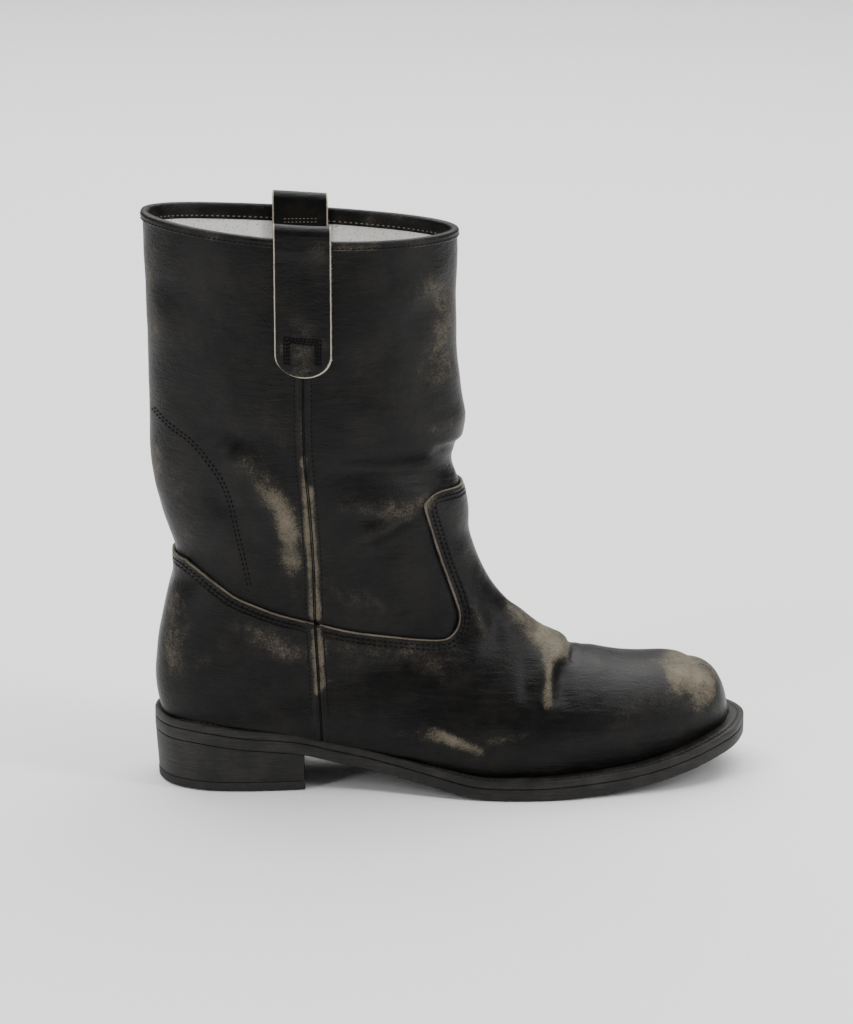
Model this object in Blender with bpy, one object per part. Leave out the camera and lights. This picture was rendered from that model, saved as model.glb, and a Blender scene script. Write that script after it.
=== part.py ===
"""Western work boot for the right foot, ten inches tall, standing empty on its sole.

The origin is the middle of the heel's flat tread. +X points to the toe, +Z up, and the
outer (lateral) side of the boot faces -Y. All lengths are in metres.
"""
import math
from collections import namedtuple

import bmesh
import bpy
import numpy as np

# Sole
SOLE_LENGTH = 0.298
HEEL_SETBACK = 0.037
BALL_WIDTH = 0.109
HEEL_WIDTH = 0.069
HEEL_HEIGHT = 0.0252
HEEL_LENGTH = 0.0742
HEEL_TAPER = 0.0014
TOE_SPRING = 0.0155
OUTSOLE_THICKNESS = 0.0060
WELT_THICKNESS = 0.0040
LIFT_THICKNESS = 0.0045
LIFT_STEP = 0.0006
INSOLE_THICKNESS = 0.0030
HEEL_MARGIN = 0.0055
BALL_MARGIN = 0.0092
LASTING_MARGIN = 0.0120

# Upper
COUNTER_HEIGHT = 0.085
INSTEP_HEIGHT = 0.141
SHAFT_RISE = 0.139
SHAFT_DEPTH = 0.1545
SHAFT_WIDTH = 0.0906
SHAFT_SETBACK = 0.0023
RIM_DIP = 0.0026
UPPER_WALL = 0.0022
OVERLAY_THICKNESS = 0.0016
BACK_FLAT = 0.0025
BINDING_THICKNESS = 0.0009
BINDING_OUTSIDE = 0.0032
BINDING_INSIDE = 0.0070
SEAM_WIDTH = 0.0034
SEAM_HEIGHT = 0.0013
STRAP_WIDTH = 0.0272
STRAP_THICKNESS = 0.0019
STRAP_LEG = 0.0668
STRAP_ARCH = 0.0049
STRAP_END = 0.0105

# Space kept between two pieces that meet
GAP = 0.0003

LATERAL = -1.0
MEDIAL = 1.0

OutlineRow = namedtuple("OutlineRow", "along lateral medial")
# Plan of the sole: places along it are shares of SOLE_LENGTH from the heel's back edge
HEEL_OUTLINE = (        # half widths as shares of half HEEL_WIDTH
    OutlineRow(0.009, 0.38, 0.38),
    OutlineRow(0.034, 0.70, 0.70),
    OutlineRow(0.084, 0.935, 0.935),
    OutlineRow(0.144, 1.00, 1.00),
    OutlineRow(0.208, 0.99, 0.97),
)
FOREPART_OUTLINE = (    # half widths as shares of half BALL_WIDTH
    OutlineRow(0.265, 0.611, 0.590),
    OutlineRow(0.325, 0.625, 0.570),
    OutlineRow(0.383, 0.690, 0.600),
    OutlineRow(0.443, 0.800, 0.675),
    OutlineRow(0.503, 0.907, 0.775),
    OutlineRow(0.562, 0.973, 0.885),
    OutlineRow(0.621, 0.995, 0.960),
    OutlineRow(0.681, 0.978, 0.998),
    OutlineRow(0.742, 0.915, 0.995),
    OutlineRow(0.802, 0.835, 0.954),
    OutlineRow(0.862, 0.738, 0.886),
    OutlineRow(0.913, 0.612, 0.790),
    OutlineRow(0.954, 0.440, 0.668),
    OutlineRow(0.983, 0.210, 0.500),
)
TOE_TIP_ACROSS = 0.156  # of half BALL_WIDTH, to the medial side

ProfileRow = namedtuple("ProfileRow", "along heel spring")
# Height of the outsole's underside: shares of HEEL_HEIGHT and of TOE_SPRING
SOLE_PROFILE = (
    ProfileRow(0.000, 1.000, 0.000),
    ProfileRow(0.077, 0.980, 0.000),
    ProfileRow(0.111, 0.925, 0.000),
    ProfileRow(0.144, 0.868, 0.000),
    ProfileRow(0.208, 0.800, 0.000),
    ProfileRow(0.248, 0.735, 0.000),
    ProfileRow(0.292, 0.592, 0.000),
    ProfileRow(0.349, 0.462, 0.000),
    ProfileRow(0.393, 0.350, 0.000),
    ProfileRow(0.426, 0.274, 0.000),
    ProfileRow(0.460, 0.190, 0.000),
    ProfileRow(0.507, 0.070, 0.000),
    ProfileRow(0.543, 0.000, 0.000),
    ProfileRow(0.640, 0.000, 0.000),
    ProfileRow(0.671, 0.000, 0.020),
    ProfileRow(0.718, 0.000, 0.065),
    ProfileRow(0.762, 0.000, 0.115),
    ProfileRow(0.812, 0.000, 0.220),
    ProfileRow(0.862, 0.000, 0.400),
    ProfileRow(0.903, 0.000, 0.590),
    ProfileRow(0.946, 0.000, 0.815),
    ProfileRow(1.000, 0.000, 1.000),
)

# A section runs from its back (or sole) point to its front (or top) point. `widest` is the
# share of that way at which it is widest; the rounds are the exponents of its two ends.
ShaftRow = namedtuple("ShaftRow", "back back_up front front_up width widest back_round front_round dip")
SHAFT_SECTIONS = (      # along SHAFT_DEPTH, up SHAFT_RISE from the instep, across SHAFT_WIDTH
    ShaftRow(0.005, 1.000, 0.993, 0.928, 1.000, 0.50, 1.90, 1.90, 1.0),
    ShaftRow(0.007, 0.885, 0.996, 0.828, 1.000, 0.50, 1.92, 1.92, 0.8),
    ShaftRow(0.014, 0.734, 0.991, 0.684, 1.000, 0.50, 1.95, 1.95, 0.4),
    ShaftRow(0.016, 0.576, 0.992, 0.533, 0.995, 0.50, 1.97, 1.97, 0.1),
    ShaftRow(0.017, 0.418, 1.006, 0.389, 0.980, 0.50, 2.00, 2.00, 0.0),
    ShaftRow(0.016, 0.274, 1.022, 0.260, 0.955, 0.50, 2.00, 2.00, 0.0),
    ShaftRow(0.016, 0.195, 1.016, 0.192, 0.940, 0.50, 2.02, 2.02, 0.0),
    ShaftRow(0.020, 0.120, 0.984, 0.116, 0.920, 0.50, 2.05, 2.05, 0.0),
    ShaftRow(0.029, 0.034, 0.997, 0.041, 0.895, 0.50, 2.05, 2.05, 0.0),
    ShaftRow(0.045, -0.045, 1.011, -0.024, 0.870, 0.50, 2.10, 2.05, 0.0),
)
HeelRow = namedtuple("HeelRow", "back back_up front front_up width widest back_round front_round")
HEEL_SECTIONS = (       # along SOLE_LENGTH, up COUNTER_HEIGHT or INSTEP_HEIGHT, across HEEL_WIDTH
    HeelRow(0.0268, 1.129, 0.525, 0.894, 1.110, 0.50, 2.10, 2.05),
    HeelRow(0.0336, 1.006, 0.529, 0.838, 1.085, 0.50, 2.15, 2.05),
    HeelRow(0.0346, 0.888, 0.536, 0.786, 1.060, 0.50, 2.25, 2.10),
    HeelRow(0.0262, 0.765, 0.544, 0.738, 1.040, 0.49, 2.40, 2.10),
    HeelRow(0.0148, 0.594, 0.554, 0.693, 1.025, 0.48, 2.55, 2.10),
    HeelRow(0.0060, 0.429, 0.565, 0.653, 1.015, 0.47, 2.65, 2.10),
    HeelRow(0.0027, 0.271, 0.577, 0.618, 1.005, 0.47, 2.75, 2.10),
    HeelRow(0.0057, 0.124, 0.589, 0.588, 0.998, 0.48, 2.80, 2.10),
)
FootRow = namedtuple("FootRow", "sole front front_up lateral medial widest sole_round front_round ridge")
WAIST_SECTIONS = (      # half widths as shares of half HEEL_WIDTH
    FootRow(0.0187, 0.600, 0.562, 0.995, 0.995, 0.49, 2.85, 2.10, 0.000),
    FootRow(0.0369, 0.610, 0.545, 0.998, 0.995, 0.50, 2.60, 2.10, 0.000),
    FootRow(0.0772, 0.621, 0.526, 1.015, 1.005, 0.51, 2.40, 2.10, 0.000),
    FootRow(0.1376, 0.633, 0.503, 1.060, 1.030, 0.51, 2.30, 2.10, 0.010),
    FootRow(0.2080, 0.644, 0.484, 1.105, 1.065, 0.48, 2.25, 2.10, 0.020),
)
FOREPART_SECTIONS = (   # how far the sides stand out past the sole line, of half BALL_WIDTH
    FootRow(0.2750, 0.658, 0.467, 0.095, 0.150, 0.44, 2.20, 2.12, 0.030),
    FootRow(0.3390, 0.673, 0.451, 0.085, 0.150, 0.41, 2.15, 2.15, 0.035),
    FootRow(0.3990, 0.688, 0.431, 0.083, 0.140, 0.38, 2.15, 2.18, 0.040),
    FootRow(0.4530, 0.704, 0.400, 0.079, 0.125, 0.35, 2.10, 2.20, 0.045),
    FootRow(0.5030, 0.723, 0.383, 0.070, 0.105, 0.33, 2.10, 2.20, 0.050),
    FootRow(0.5540, 0.748, 0.368, 0.064, 0.085, 0.31, 2.10, 2.20, 0.060),
    FootRow(0.6040, 0.777, 0.348, 0.055, 0.064, 0.30, 2.10, 2.25, 0.070),
    FootRow(0.6540, 0.805, 0.331, 0.050, 0.052, 0.29, 2.10, 2.30, 0.080),
    FootRow(0.7050, 0.835, 0.317, 0.043, 0.043, 0.29, 2.10, 2.35, 0.090),
    FootRow(0.7550, 0.862, 0.306, 0.038, 0.037, 0.29, 2.10, 2.40, 0.105),
    FootRow(0.8050, 0.888, 0.286, 0.035, 0.033, 0.29, 2.10, 2.45, 0.120),
    FootRow(0.8490, 0.909, 0.255, 0.031, 0.031, 0.29, 2.10, 2.45, 0.135),
)
TOE_STEPS = 5
TOE_BULGE = 0.028       # of half BALL_WIDTH
TOE_TIP_UP = 0.052      # of INSTEP_HEIGHT
TOE_TIP_REACH = 0.0002
TOE_ROUND = 2.2

FoldRow = namedtuple("FoldRow", "from_along from_up to_along to_up reach depth side")
# Lasting folds at the ankle: places in side view as shares of SOLE_LENGTH and of
# INSTEP_HEIGHT above the ball, reach and depth as shares of SHAFT_DEPTH
ANKLE_FOLDS = (
    FoldRow(0.520, 1.085, 0.290, 1.125, 0.050, -0.013, LATERAL),
    FoldRow(0.480, 1.010, 0.340, 0.850, 0.055, 0.011, LATERAL),
    FoldRow(0.085, 1.200, 0.185, 1.140, 0.055, 0.010, LATERAL),
    FoldRow(0.185, 1.140, 0.245, 0.850, 0.050, 0.010, LATERAL),
    FoldRow(0.520, 1.085, 0.330, 1.060, 0.055, -0.013, MEDIAL),
    FoldRow(0.150, 1.120, 0.235, 0.880, 0.060, 0.009, MEDIAL),
)

SeamRow = namedtuple("SeamRow", "along up")
# Top edge of the vamp and counter in side view, shares of SOLE_LENGTH and INSTEP_HEIGHT
VAMP_EDGE = (
    SeamRow(0.269, 0.571),
    SeamRow(0.327, 0.538),
    SeamRow(0.400, 0.512),
    SeamRow(0.471, 0.492),
    SeamRow(0.497, 0.503),
    SeamRow(0.509, 0.548),
    SeamRow(0.505, 0.615),
    SeamRow(0.478, 0.780),
    SeamRow(0.453, 0.966),
    SeamRow(0.458, 1.004),
    SeamRow(0.478, 1.021),
    SeamRow(0.517, 1.018),
    SeamRow(0.570, 1.010),
)
COUNTER_EDGE = (
    SeamRow(0.269, 0.571),
    SeamRow(0.213, 0.602),
    SeamRow(0.176, 0.630),
    SeamRow(0.138, 0.663),
    SeamRow(0.101, 0.713),
    SeamRow(0.063, 0.765),
    SeamRow(0.042, 0.780),
    SeamRow(-0.060, 0.800),
)
SIDE_SEAM = (
    SeamRow(0.253, 1.500),
    SeamRow(0.253, 1.215),
    SeamRow(0.261, 0.997),
    SeamRow(0.267, 0.790),
    SeamRow(0.269, 0.571),
    SeamRow(0.272, 0.447),
    SeamRow(0.276, 0.280),
    SeamRow(0.279, 0.150),
)

# Counts of points that shape the facets
LOW_POINTS = 5
TOP_POINTS = 6
SOLE_POINTS = 3
OUTLINE_POINTS = 56
FINE = 12
CUT_REACH = 0.12
RIM_RISE = 0.012

COLORS = {
    "black_leather": ((0.018, 0.016, 0.015), 0.50),
    "worn_leather": ((0.030, 0.024, 0.020), 0.60),
    "sole_edge": ((0.012, 0.011, 0.010), 0.55),
    "rubber": ((0.020, 0.019, 0.018), 0.75),
    "insole_leather": ((0.210, 0.150, 0.095), 0.80),
}


def material(name):
    """Principled material of one of the boot's finishes."""
    color, roughness = COLORS[name]
    made = bpy.data.materials.get(name)
    if made is None:
        made = bpy.data.materials.new(name)
        made.use_nodes = True
        shader = made.node_tree.nodes["Principled BSDF"]
        shader.inputs["Base Color"].default_value = (*color, 1.0)
        shader.inputs["Roughness"].default_value = roughness
        shader.inputs["Metallic"].default_value = 0.0
    return made


def follow(stations, values, at):
    """Cubic through a table's rows that never swings past two neighbouring values."""
    stations = np.asarray(stations, float)
    values = np.asarray(values, float)
    at = np.clip(np.asarray(at, float), stations[0], stations[-1])
    step = np.diff(stations)
    slope = np.diff(values) / step
    tangent = np.zeros(len(values))
    tangent[0] = slope[0]
    tangent[-1] = slope[-1]
    same_way = slope[:-1] * slope[1:] > 0.0
    product = slope[:-1] * slope[1:]
    total = np.where(same_way, slope[:-1] + slope[1:], 1.0)
    tangent[1:-1] = np.where(same_way, 2.0 * product / total, 0.0)
    low = np.clip(np.searchsorted(stations, at, side="right") - 1, 0, len(step) - 1)
    part = (at - stations[low]) / step[low]
    ease = part * part * (3.0 - 2.0 * part)
    bend = part * (1.0 - part) ** 2 * tangent[low] - part * part * (1.0 - part) * tangent[low + 1]
    return values[low] + ease * (values[low + 1] - values[low]) + bend * step[low]


def smooth_step(value):
    """Ease from 0 to 1."""
    value = np.clip(value, 0.0, 1.0)
    return value * value * (3.0 - 2.0 * value)


def along(share):
    """X of a place along the sole."""
    return share * SOLE_LENGTH - HEEL_SETBACK


def tread_height(x):
    """Height of the outsole's underside."""
    place = (np.asarray(x, float) + HEEL_SETBACK) / SOLE_LENGTH
    stations = [row.along for row in SOLE_PROFILE]
    heel = follow(stations, [row.heel for row in SOLE_PROFILE], place)
    spring = follow(stations, [row.spring for row in SOLE_PROFILE], place)
    return HEEL_HEIGHT * heel + TOE_SPRING * spring


def seat_height(x):
    """Height of the upper's underside, which rests on the outsole."""
    return tread_height(x) + OUTSOLE_THICKNESS + GAP


def closed_curve(points, per_span=FINE):
    """Closed smooth curve through points, sampled evenly within each span."""
    points = np.asarray(points, float)
    before, after = np.roll(points, 1, 0), np.roll(points, -1, 0)
    beyond = np.roll(points, -2, 0)
    curve = []
    for share in np.arange(per_span) / per_span:
        square, cube = share * share, share ** 3
        curve.append(0.5 * (2.0 * points + (after - before) * share
                            + (2.0 * before - 5.0 * points + 4.0 * after - beyond) * square
                            + (3.0 * points - before - 3.0 * after + beyond) * cube))
    return np.stack(curve, 1).reshape(-1, points.shape[1])


def resample(curve, count):
    """Closed curve with its points at even distances."""
    ring = np.vstack([curve, curve[:1]])
    run = np.concatenate([[0.0], np.cumsum(np.linalg.norm(np.diff(ring, axis=0), axis=1))])
    places = np.linspace(0.0, run[-1], count, endpoint=False)
    return np.stack([np.interp(places, run, ring[:, k]) for k in range(ring.shape[1])], 1)


def sole_curve():
    """Edge of the sole in plan: heel back, lateral side, toe, medial side."""
    heel, ball = HEEL_WIDTH / 2.0, BALL_WIDTH / 2.0
    sides = [(along(row.along), row.lateral * heel, row.medial * heel) for row in HEEL_OUTLINE]
    sides += [(along(row.along), row.lateral * ball, row.medial * ball) for row in FOREPART_OUTLINE]
    points = [(along(0.0), 0.0)]
    points += [(x, -lateral) for x, lateral, medial in sides]
    points.append((along(1.0), TOE_TIP_ACROSS * ball))
    points += [(x, medial) for x, lateral, medial in reversed(sides)]
    return closed_curve(points)


def inset(curve, distance):
    """Curve moved inwards by a distance, or by a distance for each of its points."""
    ahead, behind = np.roll(curve, -2, 0), np.roll(curve, 2, 0)
    way = ahead - behind
    way /= np.linalg.norm(way, axis=1)[:, None]
    inward = np.stack([-way[:, 1], way[:, 0]], 1)
    return curve + inward * np.reshape(distance, (-1, 1))


def feather_curve(extra=0.0):
    """Line where the upper turns under, inside the sole's edge."""
    curve = sole_curve()
    share = (curve[:, 0] + HEEL_SETBACK) / SOLE_LENGTH
    margin = HEEL_MARGIN + (BALL_MARGIN - HEEL_MARGIN) * smooth_step((share - 0.2) / 0.3)
    return inset(curve, margin + extra)


def edges_at(curve, x):
    """Lateral and medial Y of a closed outline at x."""
    toe = int(np.argmax(curve[:, 0]))
    heel = int(np.argmin(curve[:, 0]))
    turned = np.roll(curve, -heel, 0)
    toe = (toe - heel) % len(curve)
    lateral = turned[:toe + 1]
    medial = np.vstack([turned[:1], turned[toe:][::-1]])
    return np.interp(x, lateral[:, 0], lateral[:, 1]), np.interp(x, medial[:, 0], medial[:, 1])


SECTION_FIELDS = ("back_x back_z front_x front_z wide_lateral wide_medial ridge widest "
                  "back_round front_round dip on_sole")
Section = namedtuple("Section", SECTION_FIELDS)


def shaft_sections():
    """Sections of the shaft, from the collar down to the ankle."""
    base = seat_height(along(0.54)) + INSTEP_HEIGHT
    start = -HEEL_SETBACK - SHAFT_SETBACK
    made = []
    for row in SHAFT_SECTIONS:
        half = row.width * SHAFT_WIDTH / 2.0
        made.append(Section(start + row.back * SHAFT_DEPTH, base + row.back_up * SHAFT_RISE,
                            start + row.front * SHAFT_DEPTH, base + row.front_up * SHAFT_RISE,
                            -half, half, 0.0, row.widest, row.back_round, row.front_round,
                            row.dip * RIM_DIP, 0.0))
    return made


def heel_sections():
    """Sections that turn about the instep while their back runs down the heel."""
    seat = float(seat_height(along(0.0)))
    made = []
    for row in HEEL_SECTIONS:
        half = row.width * HEEL_WIDTH / 2.0
        front_x = along(row.front)
        made.append(Section(along(row.back), seat + row.back_up * COUNTER_HEIGHT,
                            front_x, seat_height(front_x) + row.front_up * INSTEP_HEIGHT,
                            -half, half, 0.0, row.widest, row.back_round, row.front_round,
                            0.0, 0.0))
    return made


def foot_sections():
    """Sections that stand on the sole line, from the heel seat to the toe tip."""
    ball = BALL_WIDTH / 2.0
    made = []
    for row in WAIST_SECTIONS + FOREPART_SECTIONS:
        sole_x, front_x = along(row.sole), along(row.front)
        if row in WAIST_SECTIONS:
            lateral = -row.lateral * HEEL_WIDTH / 2.0
            medial = row.medial * HEEL_WIDTH / 2.0
        else:
            wide_x = sole_x + row.widest * (front_x - sole_x)
            lateral, medial = edges_at(feather_curve(), wide_x)
            lateral -= row.lateral * ball
            medial += row.medial * ball
        made.append(Section(sole_x, float(seat_height(sole_x)), front_x,
                            seat_height(front_x) + row.front_up * INSTEP_HEIGHT,
                            lateral, medial, row.ridge * ball, row.widest,
                            row.sole_round, row.front_round, 0.0, 1.0))
    made += toe_sections(made[-1])
    return made


def toe_sections(last):
    """Sections that round the toe off, each nearer to the tip than the one before."""
    ball = BALL_WIDTH / 2.0
    feather = feather_curve()
    round_edge = inset(feather, -TOE_BULGE * ball)
    sole_tip = float(feather[:, 0].max()) - GAP
    top_tip = sole_tip + TOE_TIP_REACH
    tip_z = float(seat_height(top_tip)) + TOE_TIP_UP * INSTEP_HEIGHT
    made = []
    for step in range(1, TOE_STEPS + 1):
        turn = step / TOE_STEPS * math.pi / 2.0
        forward = math.sin(turn) ** (2.0 / TOE_ROUND)
        down = math.cos(turn) ** (2.0 / TOE_ROUND)
        sole_x = last.back_x + (sole_tip - last.back_x) * math.sin(turn)
        front_x = last.front_x + (top_tip - last.front_x) * forward
        front_z = tip_z + (last.front_z - tip_z) * down
        wide_x = sole_x + last.widest * (front_x - sole_x)
        lateral, medial = edges_at(round_edge, wide_x)
        middle = (lateral + medial) / 2.0
        ridge = last.ridge + (middle - last.ridge) * step / TOE_STEPS
        made.append(Section(sole_x, float(seat_height(sole_x)), front_x, front_z,
                            lateral, medial, ridge, last.widest,
                            last.back_round, last.front_round, 0.0, 1.0))
    return made


def all_sections():
    """Every section as rows of one array, in the order of SECTION_FIELDS."""
    return np.array(shaft_sections() + heel_sections() + foot_sections(), float)


def section_at(table, place):
    """Section between two rows of the table."""
    stations = np.arange(len(table))
    return Section(*[float(follow(stations, column, place)) for column in table.T])


def low_edges(section, feather):
    """Lateral and medial Y at the back or sole end of a section."""
    lateral, medial = -BACK_FLAT, BACK_FLAT
    if section.on_sole > 0.5:
        sole_lateral, sole_medial = edges_at(feather, section.back_x)
        middle = (sole_lateral + sole_medial) / 2.0
        lateral = min(sole_lateral, middle - BACK_FLAT)
        medial = max(sole_medial, middle + BACK_FLAT)
    return lateral, medial


def side_curve(section, low, wide, low_points, top_points):
    """One side of a section as rows of (share of the way to the front, y)."""
    turn = np.linspace(0.0, math.pi / 2.0, low_points + 1)
    rise = section.widest * (1.0 - np.cos(turn) ** (2.0 / section.back_round))
    out = low + (wide - low) * np.sin(turn) ** (2.0 / section.back_round)
    turn = np.linspace(0.0, math.pi / 2.0, top_points + 1)[1:]
    upper = section.widest + (1.0 - section.widest) * np.sin(turn) ** (2.0 / section.front_round)
    back_in = section.ridge + (wide - section.ridge) * np.cos(turn) ** (2.0 / section.front_round)
    return np.stack([np.concatenate([rise, upper]), np.concatenate([out, back_in])], 1)


def ring(section, feather, low_points=LOW_POINTS, top_points=TOP_POINTS, sole_points=SOLE_POINTS):
    """Closed section in space, from the lateral sole edge over the front to the medial one."""
    low_lateral, low_medial = low_edges(section, feather)
    lateral = side_curve(section, low_lateral, section.wide_lateral, low_points, top_points)
    medial = side_curve(section, low_medial, section.wide_medial, low_points, top_points)
    across = np.linspace(low_medial, low_lateral, sole_points + 1)[1:-1]
    under = np.stack([np.zeros(len(across)), across], 1)
    flat = np.vstack([lateral, medial[:-1][::-1], under])
    share, y = flat[:, 0], flat[:, 1]
    x = section.back_x + share * (section.front_x - section.back_x)
    z = section.back_z + share * (section.front_z - section.back_z)
    half = np.where(y < 0.0, -section.wide_lateral, section.wide_medial)
    z = z - section.dip * (y / half) ** 2
    return np.stack([x, y, z], 1)


def fold_height(points):
    """How far the ankle folds push the leather out (or in, below zero)."""
    height = np.zeros(points.shape[:-1])
    ball_seat = float(seat_height(along(0.54)))
    for row in ANKLE_FOLDS:
        start = np.array([along(row.from_along), ball_seat + row.from_up * INSTEP_HEIGHT])
        end = np.array([along(row.to_along), ball_seat + row.to_up * INSTEP_HEIGHT])
        way = end - start
        flat = points[..., [0, 2]] - start
        share = np.clip(flat @ way / (way @ way), 0.0, 1.0)
        away = np.linalg.norm(flat - share[..., None] * way, axis=-1)
        ends = smooth_step(0.25 + 3.0 * share) * smooth_step(0.25 + 3.0 * (1.0 - share))
        on_side = smooth_step(0.5 + row.side * points[..., 1] / 0.02)
        reach = row.reach * SHAFT_DEPTH
        height += row.depth * SHAFT_DEPTH * np.exp(-(away / reach) ** 2) * ends * on_side
    return height


def normals(grid):
    """Outward directions of a grid of sections."""
    down = np.gradient(grid, axis=0)
    around = np.roll(grid, -1, 1) - np.roll(grid, 1, 1)
    out = np.cross(down, around)
    length = np.linalg.norm(out, axis=2, keepdims=True)
    out = out / np.maximum(length, 1e-12)
    out[-1] = 0.5 * out[-1] + 0.5 * np.array([1.0, 0.0, 0.0])
    out[-1] /= np.linalg.norm(out[-1], axis=1)[:, None]
    return out


def covered_depth():
    """How much deeper than the form that shows the upper lies in each section."""
    rows = np.arange(len(all_sections())) - len(SHAFT_SECTIONS) + 1.0
    return (OVERLAY_THICKNESS + GAP) * smooth_step(rows / 2.0)


def raise_collar(grid, rise):
    """Lift the collar's section along the shaft."""
    way = grid[0] - grid[1]
    way /= np.linalg.norm(way, axis=1)[:, None]
    grid[0] = grid[0] + way * rise


def upper_grid(offset=0.0, rise=0.0):
    """Sections of the upper's outside, moved out by an offset, the collar raised by a rise.

    The sections give the form that shows. Under the overlays the upper lies deeper by
    their thickness, except on its flat underside.
    """
    table, feather = all_sections(), feather_curve()
    grid = np.array([ring(Section(*row), feather) for row in table])
    out = normals(grid)
    on_sole = np.arange(len(grid)) > len(SHAFT_SECTIONS)
    facing_down = np.clip(-1.2 * out[..., 2], 0.0, 1.0) * on_sole[:, None]
    depth = covered_depth()[:, None] * (1.0 - facing_down)
    grid = grid + out * (fold_height(grid) + offset - depth)[..., None]
    raise_collar(grid, rise)
    return grid


def inside_grid(rise):
    """Sections of the upper's inside, a wall's thickness within its outside."""
    table, feather = all_sections(), feather_curve()
    grid = np.array([ring(Section(*row), feather) for row in table])
    out = normals(grid)
    depths = covered_depth() + UPPER_WALL
    inner_feather = feather_curve(float(depths[-1]))
    outer_start, outer_end = feather[:, 0].min(), feather[:, 0].max()
    inner_start, inner_end = inner_feather[:, 0].min(), inner_feather[:, 0].max()
    sections = []
    for row, depth, points, ways in zip(table, depths, grid, out):
        section = Section(*row)
        front = points[LOW_POINTS + TOP_POINTS] - ways[LOW_POINTS + TOP_POINTS] * depth
        back = (points[0] + points[-SOLE_POINTS]) / 2.0 - (ways[0] + ways[-SOLE_POINTS]) / 2.0 * depth
        back_x, back_z = back[0], back[2]
        if section.on_sole > 0.5:
            share = (section.back_x - outer_start) / (outer_end - outer_start)
            back_x = inner_start + share * (inner_end - inner_start)
            back_z = float(seat_height(back_x)) + UPPER_WALL
        inner = section._replace(back_x=back_x, back_z=back_z, front_x=front[0], front_z=front[2],
                                 wide_lateral=section.wide_lateral + depth,
                                 wide_medial=section.wide_medial - depth)
        sections.append(ring(inner, inner_feather))
    grid = np.array(sections)
    grid = grid + normals(grid) * fold_height(grid)[..., None]
    raise_collar(grid, rise)
    return grid


def new_object(name, mesh, finish, collection, smooth_angle=40.0):
    """Object of a mesh in a collection, with its material and smooth shading."""
    made = bpy.data.objects.new(name, mesh)
    collection.objects.link(made)
    if finish:
        mesh.materials.append(material(finish))
    mesh.shade_smooth()
    mesh.set_sharp_from_angle(angle=math.radians(smooth_angle))
    return made


def hide_cutter(cutter):
    """Cutters stay in the file but are neither rendered nor drawn solid."""
    cutter.hide_render = True
    cutter.display_type = "WIRE"


def mesh_of(name, build):
    """Mesh that a function builds in a bmesh, with its faces pointing out."""
    form = bmesh.new()
    build(form)
    bmesh.ops.recalc_face_normals(form, faces=form.faces)
    mesh = bpy.data.meshes.new(name)
    form.to_mesh(mesh)
    form.free()
    return mesh


def loft(form, grid, cap=True):
    """Skin over a grid of sections, closed at both ends by a face."""
    rows = [[form.verts.new(point) for point in section] for section in grid]
    count = len(rows[0])
    for upper_row, lower_row in zip(rows, rows[1:]):
        for index in range(count):
            after = (index + 1) % count
            form.faces.new((upper_row[index], lower_row[index], lower_row[after]))
            form.faces.new((upper_row[index], lower_row[after], upper_row[after]))
    if cap:
        form.faces.new(rows[0])
        form.faces.new(rows[-1][::-1])


def hull(name, collection, grid):
    """Closed solid of one of the upper's forms, which only cuts."""
    mesh = mesh_of(name, lambda form: loft(form, grid))
    made = new_object(name, mesh, None, collection)
    hide_cutter(made)
    return made


def sole_places():
    """Where the upper's sections stand on the sole, for the bends of the pieces under it."""
    return [section.back_x for section in foot_sections()[:-1]]


def slab(form, curve, low, high):
    """Solid between two height profiles over a plan outline, cut across for its bends."""
    outline = [form.verts.new((x, y, 0.0)) for x, y in curve]
    bottom = form.faces.new(outline)
    raised = bmesh.ops.extrude_face_region(form, geom=[bottom])["geom"]
    tops = [item for item in raised if isinstance(item, bmesh.types.BMVert)]
    bmesh.ops.translate(form, verts=tops, vec=(0.0, 0.0, 1.0))
    places = sole_places()
    for place in places:
        geometry = form.verts[:] + form.edges[:] + form.faces[:]
        bmesh.ops.bisect_plane(form, geom=geometry, plane_co=(place, 0.0, 0.0),
                               plane_no=(1.0, 0.0, 0.0), dist=1e-6)
    bends = [along(0.0)] + places + [along(1.0)]
    for vert in form.verts:
        profile = high if vert.co.z > 0.5 else low
        vert.co.z = float(np.interp(vert.co.x, bends, [profile(place) for place in bends]))
    bmesh.ops.triangulate(form, faces=form.faces[:])


def boolean(target, cutter, operation):
    """Exact boolean of a cutter on an object."""
    cut = target.modifiers.new(operation.lower(), "BOOLEAN")
    cut.operation = operation
    cut.object = cutter
    cut.solver = "EXACT"


def slab_cutter(name, collection, curve, low, high):
    """Slab that only cuts."""
    mesh = mesh_of(name, lambda form: slab(form, curve, low, high))
    made = new_object(name, mesh, None, collection)
    hide_cutter(made)
    return made


def upper(parts, cutters):
    """Hollow leather upper: open at the collar, and underneath inside the lasting margin."""
    mesh = mesh_of("upper", lambda form: loft(form, upper_grid()))
    made = new_object("upper", mesh, "black_leather", parts)
    boolean(made, hull("upper_inside", cutters, inside_grid(RIM_RISE)), "DIFFERENCE")
    opening = resample(feather_curve(LASTING_MARGIN), OUTLINE_POINTS // 2)
    hole = slab_cutter("lasting_opening", cutters, opening,
                       lambda x: seat_height(x) - 0.004,
                       lambda x: seat_height(x) + 2.0 * UPPER_WALL)
    boolean(made, hole, "DIFFERENCE")
    return made


def seam_points(rows):
    """Side view places of a seam."""
    base = float(seat_height(along(0.54)))
    return [(along(row.along), base + row.up * INSTEP_HEIGHT) for row in rows]


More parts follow.
